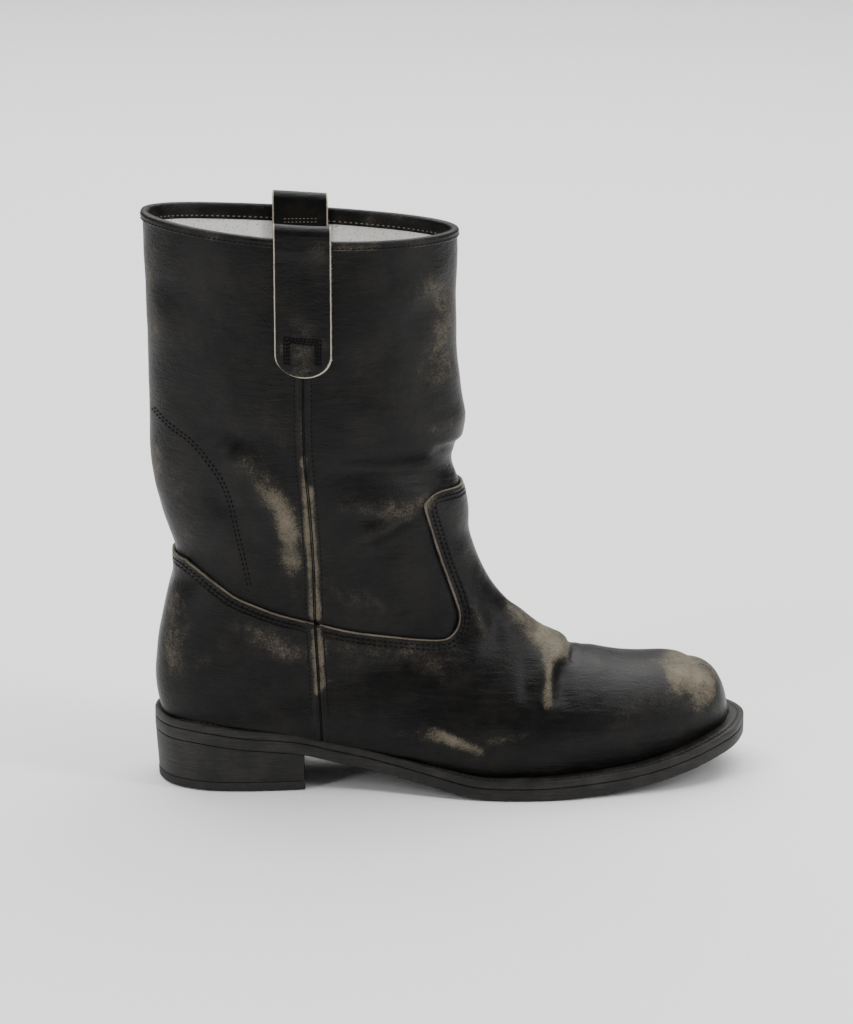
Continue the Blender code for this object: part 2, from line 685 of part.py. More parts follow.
def side_prism(name, outline, collection):
    """Solid that runs right across the boot behind a side view outline."""
    def build(form):
        corners = [form.verts.new((x, -CUT_REACH, z)) for x, z in outline]
        raised = bmesh.ops.extrude_face_region(form, geom=[form.faces.new(corners)])["geom"]
        far = [item for item in raised if isinstance(item, bmesh.types.BMVert)]
        bmesh.ops.translate(form, verts=far, vec=(0.0, 2.0 * CUT_REACH, 0.0))
        bmesh.ops.triangulate(form, faces=form.faces[:])
    return mesh_of(name, build)


def sole_line(start, end, count):
    """Side view line just over the outsole, between two places."""
    places = np.linspace(start, end, count)
    return [(float(x), float(seat_height(x)) + 8.0 * GAP) for x in places]


def overlay(name, outline, parts, hulls):
    """Leather piece laid on the upper: a cut through the space between two of its forms."""
    outer, inner = hulls
    made = new_object(name, side_prism(name, outline, parts), "worn_leather", parts)
    boolean(made, outer, "INTERSECT")
    boolean(made, inner, "DIFFERENCE")
    return made


def overlays(parts, cutters):
    """Vamp in front of the side seams and counter behind them."""
    hulls = (hull("overlay_outside", cutters, upper_grid(GAP + OVERLAY_THICKNESS, RIM_RISE)),
             hull("overlay_inside", cutters, upper_grid(2.0 * GAP, 2.0 * RIM_RISE)))
    edge, counter_edge = seam_points(VAMP_EDGE), seam_points(COUNTER_EDGE)
    seam = [point for point in seam_points(SIDE_SEAM) if point[1] < edge[0][1]]
    seam = [edge[0]] + seam
    half_gap = 1.5 * GAP
    front_x, back_x = along(1.05), along(-0.06)
    seam_foot = seam[-1][0]
    front = [(x + half_gap, z) for x, z in seam]
    front += sole_line(seam_foot + half_gap, front_x, 12)
    front += [(front_x, edge[-1][1])] + edge[:0:-1]
    back = [(x - half_gap, z) for x, z in seam]
    back += sole_line(seam_foot - half_gap, back_x, 8)
    back += counter_edge[:0:-1]
    overlay("vamp", front, parts, hulls)
    overlay("counter", back, parts, hulls)


def welt(parts, cutters):
    """Welt all round the upper, level with the edge of the outsole."""
    curve = resample(sole_curve(), OUTLINE_POINTS)
    mesh = mesh_of("welt", lambda form: slab(form, curve, seat_height,
                                             lambda x: seat_height(x) + WELT_THICKNESS))
    made = new_object("welt", mesh, "sole_edge", parts)
    boolean(made, hull("welt_inside", cutters, upper_grid(2.4 * GAP + OVERLAY_THICKNESS)), "DIFFERENCE")


def outsole(parts):
    """Outsole from the heel seat to the toe."""
    curve = resample(sole_curve(), OUTLINE_POINTS)
    mesh = mesh_of("outsole", lambda form: slab(form, curve, tread_height,
                                                lambda x: tread_height(x) + OUTSOLE_THICKNESS))
    new_object("outsole", mesh, "sole_edge", parts)


def heel_curve(shrink, breast):
    """Plan outline of a heel layer, cut straight at the breast."""
    curve = resample(inset(sole_curve(), shrink), OUTLINE_POINTS * 2)
    lateral, medial = edges_at(curve, breast)
    kept = [tuple(point) for point in curve if point[0] < breast - 0.001]
    back = next(index for index, point in enumerate(kept) if point[1] > 0.0 and point[0] > 0.0)
    return np.array(kept[:back] + [(breast, lateral), (breast, medial)] + kept[back:])


def heel(parts):
    """Stacked heel block and the rubber lift under it."""
    breast = HEEL_LENGTH - HEEL_SETBACK
    lift_top = LIFT_THICKNESS
    curve = heel_curve(0.0, breast)
    shrink = 1.0 - HEEL_TAPER / (HEEL_WIDTH / 2.0)

    def taper(form):
        slab(form, curve, lambda x: lift_top + GAP, lambda x: tread_height(x) - GAP)
        for vert in form.verts:
            if vert.co.z < lift_top + 2.0 * GAP:
                vert.co.y *= shrink
                if vert.co.x < breast - GAP:
                    vert.co.x *= shrink

    new_object("heel", mesh_of("heel", taper), "sole_edge", parts)
    lift_curve = heel_curve(HEEL_TAPER, breast + LIFT_STEP)
    mesh = mesh_of("heel_lift", lambda form: slab(form, lift_curve, lambda x: 0.0,
                                                  lambda x: lift_top))
    new_object("heel_lift", mesh, "rubber", parts)


def insole(parts):
    """Insole on the upper's turned-in margin."""
    curve = resample(feather_curve(UPPER_WALL + OVERLAY_THICKNESS + 4.0 * GAP), OUTLINE_POINTS - 12)
    low = UPPER_WALL + 2.0 * GAP
    mesh = mesh_of("insole", lambda form: slab(form, curve, lambda x: seat_height(x) + low,
                                               lambda x: seat_height(x) + low + INSOLE_THICKNESS))
    new_object("insole", mesh, "insole_leather", parts)


def collar_binding(parts):
    """Folded strip over the rim of the shaft."""
    grid = upper_grid()[:2]
    out = normals(upper_grid())[0]
    up = grid[0] - grid[1]
    up /= np.linalg.norm(up, axis=1)[:, None]
    near, far = GAP, GAP + BINDING_THICKNESS
    inner = -UPPER_WALL
    profile = ((near, -BINDING_OUTSIDE), (near, near), (inner - near, near),
               (inner - near, -BINDING_INSIDE), (inner - far, -BINDING_INSIDE),
               (inner - far, far), (far, far), (far, -BINDING_OUTSIDE))

    def build(form):
        rows = [grid[0] + out * side + up * rise for side, rise in profile]
        sections = np.array(rows).transpose(1, 0, 2)
        closed = np.vstack([sections, sections[:1]])
        loft(form, closed, cap=False)
        bmesh.ops.remove_doubles(form, verts=form.verts[:], dist=1e-5)

    new_object("collar_binding", mesh_of("collar_binding", build), "black_leather", parts)


def side_y(x, z, side, grid):
    """Y of the upper's outside at a place in side view, on the facets of its grid."""
    front = LOW_POINTS + TOP_POINTS
    rows = grid[:, :front + 1] if side < 0.0 else grid[:, front:2 * front + 1][:, ::-1]
    crossed = [row for row in rows if row[0, 0] <= x <= row[-1, 0]]
    levels = [np.interp(x, row[:, 0], row[:, 2]) for row in crossed]
    across = [np.interp(x, row[:, 0], row[:, 1]) for row in crossed]
    order = np.argsort(levels)
    return float(np.interp(z, np.array(levels)[order], np.array(across)[order]))


def rim_height(x, side, grid):
    """Height of the leather's top edge at x."""
    front = LOW_POINTS + TOP_POINTS
    row = grid[0, :front + 1] if side < 0.0 else grid[0, front:2 * front + 1][::-1]
    return float(np.interp(x, row[:, 0], row[:, 2]))


def strap_clearance(below_rim, binding_depth):
    """Distance from the leather to the strap, which also clears the binding at the rim."""
    return 2.0 * GAP + BINDING_THICKNESS * smooth_step(2.0 - below_rim / (binding_depth + 0.002))


def pull_strap(name, side, parts):
    """Strap folded over the rim: a leg outside, an arch to pull at and a leg inside."""
    middle = along(SIDE_SEAM[0].along)
    stations = middle + np.linspace(-0.5, 0.5, 5) * STRAP_WIDTH
    arch_turns = np.linspace(0.0, math.pi, 7)
    chord_sag = 1.5 * GAP
    grid = upper_grid()
    sections = []
    for x in stations:
        leather = rim_height(x, side, grid)
        rim = leather + 2.0 * GAP + BINDING_THICKNESS
        edge_share = abs(x - middle) / (STRAP_WIDTH / 2.0)
        end = rim - STRAP_LEG + STRAP_END * (1.0 - math.sqrt(max(0.0, 1.0 - edge_share ** 2)))
        levels = np.linspace(end, rim, 6)
        wall = np.array([side_y(x, z, side, grid) for z in levels])
        below = np.maximum(rim - levels, 0.0)
        outside = wall + side * (chord_sag + strap_clearance(below, BINDING_OUTSIDE))
        inside = wall - side * (UPPER_WALL + chord_sag + strap_clearance(below, BINDING_INSIDE))
        radius = abs(outside[-1] - inside[-1]) / 2.0
        centre = (outside[-1] + inside[-1]) / 2.0
        top = rim + STRAP_ARCH - radius
        path = list(zip(outside, levels))
        path += [(centre + side * radius * math.cos(turn), top + radius * math.sin(turn))
                 for turn in arch_turns]
        path += list(zip(inside[::-1], levels[::-1]))
        path = np.array(path)
        way = np.gradient(path, axis=0)
        way /= np.linalg.norm(way, axis=1)[:, None]
        away = side * np.stack([way[:, 1], -way[:, 0]], 1)
        loop = np.vstack([path, (path + away * STRAP_THICKNESS)[::-1]])
        sections.append(np.column_stack([np.full(len(loop), x), loop]))
    mesh = mesh_of(name, lambda form: loft(form, np.array(sections)))
    new_object(name, mesh, "black_leather", parts)


def side_seam(name, side, parts):
    """Raised bead of the side seam, from under the strap down to the vamp's edge."""
    places = np.array(seam_points(SIDE_SEAM))
    middle = along(SIDE_SEAM[0].along)
    grid = upper_grid()
    top = rim_height(middle, side, grid) - STRAP_LEG - 4.0 * GAP
    low = seam_points(VAMP_EDGE)[0][1] + 3.0 * GAP + OVERLAY_THICKNESS
    levels = np.linspace(top, low, 12)
    turns = np.linspace(0.0, math.pi, 5)
    sections = []
    for z in levels:
        x = float(np.interp(-z, -places[:, 1], places[:, 0]))
        rows = []
        for turn in turns:
            across = SEAM_WIDTH / 2.0 * math.cos(turn)
            raised = GAP + SEAM_HEIGHT * math.sin(turn) ** 0.6
            rows.append((x + across, side_y(x + across, z, side, grid) + side * raised, z))
        inner = [(px, side_y(px, z, side, grid) + side * GAP, z) for px, py, pz in rows[-2:0:-1]]
        sections.append(rows + inner)
    mesh = mesh_of(name, lambda form: loft(form, np.array(sections)))
    new_object(name, mesh, "worn_leather", parts)


def build_boot():
    """Clear the scene and build every piece."""
    for old in list(bpy.data.objects):
        bpy.data.objects.remove(old)
    parts = bpy.data.collections.new("western_work_boot")
    cutters = bpy.data.collections.new("cutters")
    for collection in (parts, cutters):
        bpy.context.scene.collection.children.link(collection)
    upper(parts, cutters)
    overlays(parts, cutters)
    collar_binding(parts)
    for side, word in ((LATERAL, "lateral"), (MEDIAL, "medial")):
        pull_strap("pull_strap_" + word, side, parts)
        side_seam("side_seam_" + word, side, parts)
    insole(parts)
    welt(parts, cutters)
    outsole(parts)
    heel(parts)


build_boot()
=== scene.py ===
# %% [markdown]
# # A worn western work boot
#
# This lesson dresses a packed boot: thirteen plain solids that already have the right sizes.
# Each leather piece is made again as a smooth, creased skin in the same place, the seams get
# their stitches, and every surface gets a material worked out from what the real one is.
# Everything is in metres: +X to the toe, +Z up, and the outer side of this right boot on -Y.

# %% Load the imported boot
import math
from collections import namedtuple

import bmesh
import bpy
import numpy as np
from mathutils import Matrix, Vector, noise
from mathutils.bvhtree import BVHTree


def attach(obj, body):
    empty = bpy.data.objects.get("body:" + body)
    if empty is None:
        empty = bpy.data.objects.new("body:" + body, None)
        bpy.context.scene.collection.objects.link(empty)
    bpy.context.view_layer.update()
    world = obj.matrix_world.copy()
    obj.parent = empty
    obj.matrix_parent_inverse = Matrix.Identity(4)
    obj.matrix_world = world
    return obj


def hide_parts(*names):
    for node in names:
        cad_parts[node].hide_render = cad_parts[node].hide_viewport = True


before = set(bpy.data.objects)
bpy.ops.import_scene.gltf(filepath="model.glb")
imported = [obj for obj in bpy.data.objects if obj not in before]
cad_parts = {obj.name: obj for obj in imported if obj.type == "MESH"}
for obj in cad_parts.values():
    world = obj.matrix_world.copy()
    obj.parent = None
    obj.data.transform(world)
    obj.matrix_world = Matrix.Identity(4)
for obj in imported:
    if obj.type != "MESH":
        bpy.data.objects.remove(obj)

MM = 0.001
LATERAL, MEDIAL = -1.0, 1.0
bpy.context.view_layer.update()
print("packed nodes", sorted(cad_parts))

# %% [markdown]
# ## The camera
#
# The boot was photographed with a long lens from a little above its outer side. A long lens
# keeps the near and far rim of the shaft almost the same size, which is what tells its length.

# %% Camera
TARGET = Vector((0.0994, 0.0, 0.1336))
CAMERA_DISTANCE = 1.85
CAMERA_AZIMUTH = math.radians(-2.5)
CAMERA_ELEVATION = math.radians(15.5)
LENS_MM = 131.0


def make_camera():
    """Camera on a circle round the boot, looking at its middle."""
    back = Vector((math.sin(CAMERA_AZIMUTH) * math.cos(CAMERA_ELEVATION),
                   -math.cos(CAMERA_AZIMUTH) * math.cos(CAMERA_ELEVATION),
                   math.sin(CAMERA_ELEVATION)))
    data = bpy.data.cameras.new("camera")
    data.lens = LENS_MM
    data.sensor_width = 36.0
    camera = bpy.data.objects.new("camera", data)
    bpy.context.scene.collection.objects.link(camera)
    camera.location = TARGET + back * CAMERA_DISTANCE
    camera.rotation_mode = "QUATERNION"
    camera.rotation_quaternion = (-back).to_track_quat("-Z", "Y")
    bpy.context.scene.camera = camera
    return camera


print("camera at", [round(value, 3) for value in make_camera().location])

# %% [markdown]
# ## The sizes of the boot
#
# A boot is made on a last, and its leather takes the last's shape. These sizes and tables
# say what that shape is: the plan of the sole, the height of its underside, and a row of
# closed sections that run down the shaft, swing round the heel and go out to the toe.

# %% Driving sizes
SOLE_LENGTH = 0.298
HEEL_SETBACK = 0.037
BALL_WIDTH = 0.109
HEEL_WIDTH = 0.069
HEEL_HEIGHT = 0.0252
HEEL_LENGTH = 0.0742
HEEL_TAPER = 0.0014
TOE_SPRING = 0.0155
OUTSOLE_THICKNESS = 0.0060
WELT_THICKNESS = 0.0040
LIFT_THICKNESS = 0.0045
LIFT_STEP = 0.0006
INSOLE_THICKNESS = 0.0030
HEEL_MARGIN = 0.0055
BALL_MARGIN = 0.0092
COUNTER_HEIGHT = 0.085
INSTEP_HEIGHT = 0.141
SHAFT_RISE = 0.139
SHAFT_DEPTH = 0.1545
SHAFT_WIDTH = 0.0906
SHAFT_SETBACK = 0.0023
RIM_DIP = 0.0026
UPPER_WALL = 0.0022
OVERLAY_THICKNESS = 0.0016
BACK_FLAT = 0.0025
STRAP_WIDTH = 0.0272
STRAP_THICKNESS = 0.0019
STRAP_LEG = 0.0668
STRAP_ARCH = 0.0049
STRAP_END = 0.0105
GAP = 0.0003

# %% Tables of the last
OutlineRow = namedtuple("OutlineRow", "along lateral medial")
# Plan of the sole: places are shares of SOLE_LENGTH, half widths shares of half HEEL_WIDTH
HEEL_OUTLINE = (
    OutlineRow(0.009, 0.38, 0.38),
    OutlineRow(0.034, 0.70, 0.70),
    OutlineRow(0.084, 0.935, 0.935),
    OutlineRow(0.144, 1.00, 1.00),
    OutlineRow(0.208, 0.99, 0.97),
)
# Half widths as shares of half BALL_WIDTH
FOREPART_OUTLINE = (
    OutlineRow(0.265, 0.611, 0.590),
    OutlineRow(0.325, 0.625, 0.570),
    OutlineRow(0.383, 0.690, 0.600),
    OutlineRow(0.443, 0.800, 0.675),
    OutlineRow(0.503, 0.907, 0.775),
    OutlineRow(0.562, 0.973, 0.885),
    OutlineRow(0.621, 0.995, 0.960),
    OutlineRow(0.681, 0.978, 0.998),
    OutlineRow(0.742, 0.915, 0.995),
    OutlineRow(0.802, 0.835, 0.954),
    OutlineRow(0.862, 0.738, 0.886),
    OutlineRow(0.913, 0.612, 0.790),
    OutlineRow(0.954, 0.440, 0.668),
    OutlineRow(0.983, 0.210, 0.500),
)
TOE_TIP_ACROSS = 0.156

ProfileRow = namedtuple("ProfileRow", "along heel spring")
# Height of the outsole's underside: shares of HEEL_HEIGHT and of TOE_SPRING
SOLE_PROFILE = (
    ProfileRow(0.000, 1.000, 0.000),
    ProfileRow(0.077, 0.980, 0.000),
    ProfileRow(0.111, 0.925, 0.000),
    ProfileRow(0.144, 0.868, 0.000),
    ProfileRow(0.208, 0.800, 0.000),
    ProfileRow(0.248, 0.735, 0.000),
    ProfileRow(0.292, 0.592, 0.000),
    ProfileRow(0.349, 0.462, 0.000),
    ProfileRow(0.393, 0.350, 0.000),
    ProfileRow(0.426, 0.274, 0.000),
    ProfileRow(0.460, 0.190, 0.000),
    ProfileRow(0.507, 0.070, 0.000),
    ProfileRow(0.543, 0.000, 0.000),
    ProfileRow(0.640, 0.000, 0.000),
    ProfileRow(0.671, 0.000, 0.020),
    ProfileRow(0.718, 0.000, 0.065),
    ProfileRow(0.762, 0.000, 0.115),
    ProfileRow(0.812, 0.000, 0.220),
    ProfileRow(0.862, 0.000, 0.400),
    ProfileRow(0.903, 0.000, 0.590),
    ProfileRow(0.946, 0.000, 0.815),
    ProfileRow(1.000, 0.000, 1.000),
)

# A section runs from its back (or sole) point to its front (or top) point. `widest` is the
# share of that way at which it is widest; the rounds are the exponents of its two ends.
ShaftRow = namedtuple("ShaftRow", "back back_up front front_up width widest back_round front_round dip")
SHAFT_SECTIONS = (
    ShaftRow(0.005, 1.000, 0.993, 0.928, 1.000, 0.50, 1.90, 1.90, 1.0),
    ShaftRow(0.007, 0.885, 0.996, 0.828, 1.000, 0.50, 1.92, 1.92, 0.8),
    ShaftRow(0.014, 0.734, 0.991, 0.684, 1.000, 0.50, 1.95, 1.95, 0.4),
    ShaftRow(0.016, 0.576, 0.992, 0.533, 0.995, 0.50, 1.97, 1.97, 0.1),
    ShaftRow(0.017, 0.418, 1.006, 0.389, 0.980, 0.50, 2.00, 2.00, 0.0),
    ShaftRow(0.016, 0.274, 1.022, 0.260, 0.955, 0.50, 2.00, 2.00, 0.0),
    ShaftRow(0.016, 0.195, 1.016, 0.192, 0.940, 0.50, 2.02, 2.02, 0.0),
    ShaftRow(0.020, 0.120, 0.984, 0.116, 0.920, 0.50, 2.05, 2.05, 0.0),
    ShaftRow(0.029, 0.034, 0.997, 0.041, 0.895, 0.50, 2.05, 2.05, 0.0),
    ShaftRow(0.045, -0.045, 1.011, -0.024, 0.870, 0.50, 2.10, 2.05, 0.0),
)
HeelRow = namedtuple("HeelRow", "back back_up front front_up width widest back_round front_round")
HEEL_SECTIONS = (
    HeelRow(0.0268, 1.129, 0.525, 0.894, 1.110, 0.50, 2.10, 2.05),
    HeelRow(0.0336, 1.006, 0.529, 0.838, 1.085, 0.50, 2.15, 2.05),
    HeelRow(0.0346, 0.888, 0.536, 0.786, 1.060, 0.50, 2.25, 2.10),
    HeelRow(0.0262, 0.765, 0.544, 0.738, 1.040, 0.49, 2.40, 2.10),
    HeelRow(0.0148, 0.594, 0.554, 0.693, 1.025, 0.48, 2.55, 2.10),
    HeelRow(0.0060, 0.429, 0.565, 0.653, 1.015, 0.47, 2.65, 2.10),
    HeelRow(0.0027, 0.271, 0.577, 0.618, 1.005, 0.47, 2.75, 2.10),
    HeelRow(0.0057, 0.124, 0.589, 0.588, 0.998, 0.48, 2.80, 2.10),
)
FootRow = namedtuple("FootRow", "sole front front_up lateral medial widest sole_round front_round ridge")
# Half widths as shares of half HEEL_WIDTH
WAIST_SECTIONS = (
    FootRow(0.0187, 0.600, 0.562, 0.995, 0.995, 0.49, 2.85, 2.10, 0.000),
    FootRow(0.0369, 0.610, 0.545, 0.998, 0.995, 0.50, 2.60, 2.10, 0.000),
    FootRow(0.0772, 0.621, 0.526, 1.015, 1.005, 0.51, 2.40, 2.10, 0.000),
    FootRow(0.1376, 0.633, 0.503, 1.060, 1.030, 0.51, 2.30, 2.10, 0.010),
    FootRow(0.2080, 0.644, 0.484, 1.105, 1.065, 0.48, 2.25, 2.10, 0.020),
)
# How far the sides stand out past the sole line, as shares of half BALL_WIDTH
FOREPART_SECTIONS = (
    FootRow(0.2750, 0.658, 0.467, 0.095, 0.150, 0.44, 2.20, 2.12, 0.030),
    FootRow(0.3390, 0.673, 0.451, 0.085, 0.150, 0.41, 2.15, 2.15, 0.035),
    FootRow(0.3990, 0.688, 0.431, 0.083, 0.140, 0.38, 2.15, 2.18, 0.040),
    FootRow(0.4530, 0.704, 0.400, 0.079, 0.125, 0.35, 2.10, 2.20, 0.045),
    FootRow(0.5030, 0.723, 0.383, 0.070, 0.105, 0.33, 2.10, 2.20, 0.050),
    FootRow(0.5540, 0.748, 0.368, 0.064, 0.085, 0.31, 2.10, 2.20, 0.060),
    FootRow(0.6040, 0.777, 0.348, 0.055, 0.064, 0.30, 2.10, 2.25, 0.070),
    FootRow(0.6540, 0.805, 0.331, 0.050, 0.052, 0.29, 2.10, 2.30, 0.080),
    FootRow(0.7050, 0.835, 0.317, 0.043, 0.043, 0.29, 2.10, 2.35, 0.090),
    FootRow(0.7550, 0.862, 0.306, 0.038, 0.037, 0.29, 2.10, 2.40, 0.105),
    FootRow(0.8050, 0.888, 0.286, 0.035, 0.033, 0.29, 2.10, 2.45, 0.120),
    FootRow(0.8490, 0.909, 0.255, 0.031, 0.031, 0.29, 2.10, 2.45, 0.135),
)
TOE_STEPS = 16
TOE_BULGE = 0.028
TOE_TIP_UP = 0.052
TOE_TIP_REACH = 0.0002
TOE_ROUND = 2.2


# %% Heights and curves of the sole
def follow(stations, values, at):
    """Cubic through a table's rows that never swings past two neighbouring values."""
    stations, values = np.asarray(stations, float), np.asarray(values, float)
    at = np.clip(np.asarray(at, float), stations[0], stations[-1])
    step = np.diff(stations)
    slope = np.diff(values) / step
    tangent = np.zeros(len(values))
    tangent[0], tangent[-1] = slope[0], slope[-1]
    product = slope[:-1] * slope[1:]
    total = np.where(product > 0.0, slope[:-1] + slope[1:], 1.0)
    tangent[1:-1] = np.where(product > 0.0, 2.0 * product / total, 0.0)
    low = np.clip(np.searchsorted(stations, at, side="right") - 1, 0, len(step) - 1)
    part = (at - stations[low]) / step[low]
    ease = part * part * (3.0 - 2.0 * part)
    bend = part * (1.0 - part) ** 2 * tangent[low] - part * part * (1.0 - part) * tangent[low + 1]
    return values[low] + ease * (values[low + 1] - values[low]) + bend * step[low]


def smooth_step(value):
    """Ease from 0 to 1."""
    value = np.clip(value, 0.0, 1.0)
    return value * value * (3.0 - 2.0 * value)


def along(share):
    """X of a place along the sole."""
    return share * SOLE_LENGTH - HEEL_SETBACK


def tread_height(x):
    """Height of the outsole's underside."""
    place = (np.asarray(x, float) + HEEL_SETBACK) / SOLE_LENGTH
    stations = [row.along for row in SOLE_PROFILE]
    heights = [row.heel * HEEL_HEIGHT + row.spring * TOE_SPRING for row in SOLE_PROFILE]
    return sum(follow(stations, heights, place + move) for move in (-0.02, -0.01, 0.0, 0.01, 0.02)) / 5.0


def seat_height(x):
    """Height of the upper's underside, which rests on the outsole."""
    return tread_height(x) + OUTSOLE_THICKNESS + GAP


def smooth_curve(points, per_span=12, closed=True):
    """Smooth curve through points, sampled evenly within each span."""
    points = np.asarray(points, float)
    if not closed:
        points = np.vstack([2 * points[0] - points[1], points, 2 * points[-1] - points[-2]])
    before, after, beyond = np.roll(points, 1, 0), np.roll(points, -1, 0), np.roll(points, -2, 0)
    curve = []
    for share in np.arange(per_span) / per_span:
        square, cube = share * share, share ** 3
        curve.append(0.5 * (2.0 * points + (after - before) * share
                            + (2.0 * before - 5.0 * points + 4.0 * after - beyond) * square
                            + (3.0 * points - before - 3.0 * after + beyond) * cube))
    made = np.stack(curve, 1)
    if closed:
        return made.reshape(-1, points.shape[1])
    return np.vstack([made[1:-2].reshape(-1, points.shape[1]), points[-2:-1]])


def resample(curve, step, closed=False):
    """Curve with its points a step apart."""
    if closed:
        curve = np.vstack([curve, curve[:1]])
    run = np.concatenate([[0.0], np.cumsum(np.linalg.norm(np.diff(curve, axis=0), axis=1))])
    count = max(2, int(round(run[-1] / step)))
    places = np.linspace(0.0, run[-1], count + 1)
    if closed:
        places = places[:-1]
    return np.stack([np.interp(places, run, curve[:, k]) for k in range(curve.shape[1])], 1)


def sole_curve():
    """Edge of the sole in plan: heel back, lateral side, toe, medial side."""
    heel, ball = HEEL_WIDTH / 2.0, BALL_WIDTH / 2.0
    sides = [(along(row.along), row.lateral * heel, row.medial * heel) for row in HEEL_OUTLINE]
    sides += [(along(row.along), row.lateral * ball, row.medial * ball) for row in FOREPART_OUTLINE]
    points = [(along(0.0), 0.0)]
    points += [(x, -lateral) for x, lateral, medial in sides]
    points.append((along(1.0), TOE_TIP_ACROSS * ball))
    points += [(x, medial) for x, lateral, medial in reversed(sides)]
    return smooth_curve(points)


def inset(curve, distance):
    """Closed curve moved inwards by a distance, or by one for each of its points."""
    way = np.roll(curve, -2, 0) - np.roll(curve, 2, 0)
    way /= np.linalg.norm(way, axis=1)[:, None]
    inward = np.stack([-way[:, 1], way[:, 0]], 1)
    return curve + inward * np.reshape(distance, (-1, 1))


def feather_curve(extra=0.0):
    """Line where the upper turns under, inside the sole's edge."""
    curve = sole_curve()
    share = (curve[:, 0] + HEEL_SETBACK) / SOLE_LENGTH
    margin = HEEL_MARGIN + (BALL_MARGIN - HEEL_MARGIN) * smooth_step((share - 0.2) / 0.3)
    return inset(curve, margin + extra)


def edges_at(curve, x):
    """Lateral and medial Y of a closed outline at x."""
    turned = np.roll(curve, -int(np.argmin(curve[:, 0])), 0)
    toe = int(np.argmax(turned[:, 0]))
    lateral = turned[:toe + 1]
    medial = np.vstack([turned[:1], turned[toe:][::-1]])
    return np.interp(x, lateral[:, 0], lateral[:, 1]), np.interp(x, medial[:, 0], medial[:, 1])


print("sole", round(SOLE_LENGTH * 1000), "mm long, toe spring", round(TOE_SPRING * 1000, 1), "mm")

# %% [markdown]
# ## The form of the leather
#
# One family of sections carries the whole upper. In the shaft they lie flat, round the heel
# they fan out about the instep, and in the foot they stand on the line where the upper turns
# under. Rows put in between by a gentle cubic make the coarse form a smooth one.

# %% Sections from the collar to the toe
Section = namedtuple("Section", "back_x back_z front_x front_z wide_lateral wide_medial ridge widest "
                                "back_round front_round dip on_sole")


def shaft_sections():
    """Sections of the shaft, from the collar down to the ankle."""
    base = seat_height(along(0.54)) + INSTEP_HEIGHT
    start = -HEEL_SETBACK - SHAFT_SETBACK
    made = []
    for row in SHAFT_SECTIONS:
        half = row.width * SHAFT_WIDTH / 2.0
        made.append(Section(start + row.back * SHAFT_DEPTH, base + row.back_up * SHAFT_RISE,
                            start + row.front * SHAFT_DEPTH, base + row.front_up * SHAFT_RISE,
                            -half, half, 0.0, row.widest, row.back_round, row.front_round,
                            row.dip * RIM_DIP, 0.0))
    return made


def heel_sections():
    """Sections that turn about the instep while their back runs down the heel."""
    seat = float(seat_height(along(0.0)))
    made = []
    for row in HEEL_SECTIONS:
        half = row.width * HEEL_WIDTH / 2.0
        front_x = along(row.front)
        made.append(Section(along(row.back), seat + row.back_up * COUNTER_HEIGHT,
                            front_x, seat_height(front_x) + row.front_up * INSTEP_HEIGHT,
                            -half, half, 0.0, row.widest, row.back_round, row.front_round, 0.0, 0.0))
    return made


def foot_sections():
    """Sections that stand on the sole line, from the heel seat to the toe tip."""
    ball = BALL_WIDTH / 2.0
    made = []
    for row in WAIST_SECTIONS + FOREPART_SECTIONS:
        sole_x, front_x = along(row.sole), along(row.front)
        if row in WAIST_SECTIONS:
            lateral, medial = -row.lateral * HEEL_WIDTH / 2.0, row.medial * HEEL_WIDTH / 2.0
        else:
            lateral, medial = edges_at(FEATHER, sole_x + row.widest * (front_x - sole_x))
            lateral, medial = lateral - row.lateral * ball, medial + row.medial * ball
        made.append(Section(sole_x, float(seat_height(sole_x)), front_x,
                            seat_height(front_x) + row.front_up * INSTEP_HEIGHT,
                            lateral, medial, row.ridge * ball, row.widest,
                            row.sole_round, row.front_round, 0.0, 1.0))
    return made + toe_sections(made[-1])


def toe_sections(last):
    """Sections that round the toe off, each nearer to the tip than the one before."""
    ball = BALL_WIDTH / 2.0
    round_edge = inset(FEATHER, -TOE_BULGE * ball)
    sole_tip = float(FEATHER[:, 0].max()) - GAP
    top_tip = sole_tip + TOE_TIP_REACH
    tip_z = float(seat_height(top_tip)) + TOE_TIP_UP * INSTEP_HEIGHT
    made = []
    for step in range(1, TOE_STEPS + 1):
        turn = step / TOE_STEPS * math.pi / 2.0
        forward = math.sin(turn) ** (2.0 / TOE_ROUND)
        down = max(0.0, math.cos(turn)) ** (2.0 / TOE_ROUND)
        sole_x = last.back_x + (sole_tip - last.back_x) * math.sin(turn)
        front_x = last.front_x + (top_tip - last.front_x) * forward
        front_z = tip_z + (last.front_z - tip_z) * down
        lateral, medial = edges_at(round_edge, sole_x + last.widest * (front_x - sole_x))
        ridge = last.ridge + ((lateral + medial) / 2.0 - last.ridge) * step / TOE_STEPS
        made.append(Section(sole_x, float(seat_height(sole_x)), front_x, front_z,
                            lateral, medial, ridge, last.widest,
                            last.back_round, last.front_round, 0.0, 1.0))
    return made


FEATHER = feather_curve()
TABLE = np.array(shaft_sections() + heel_sections() + foot_sections(), float)
TABLE_END = len(TABLE) - TOE_STEPS
print(len(TABLE), "sections, of which", TOE_STEPS, "round off the toe")


# %% Close rows of points on the form
def dense_sections(per_span, first=0.0, last=TABLE_END - 1.0, toe=True):
    """Sections between the table's rows, and the place of each in the table."""
    places = np.linspace(first, last, int(round((last - first) * per_span)) + 1)
    stations = np.arange(TABLE_END)
    rows = np.stack([follow(stations, column[:TABLE_END], places) for column in TABLE.T], 1)
    if toe:
        rows = np.vstack([rows, TABLE[TABLE_END:]])
        places = np.concatenate([places, np.arange(TABLE_END, len(TABLE))])
    return [Section(*row) for row in rows], places


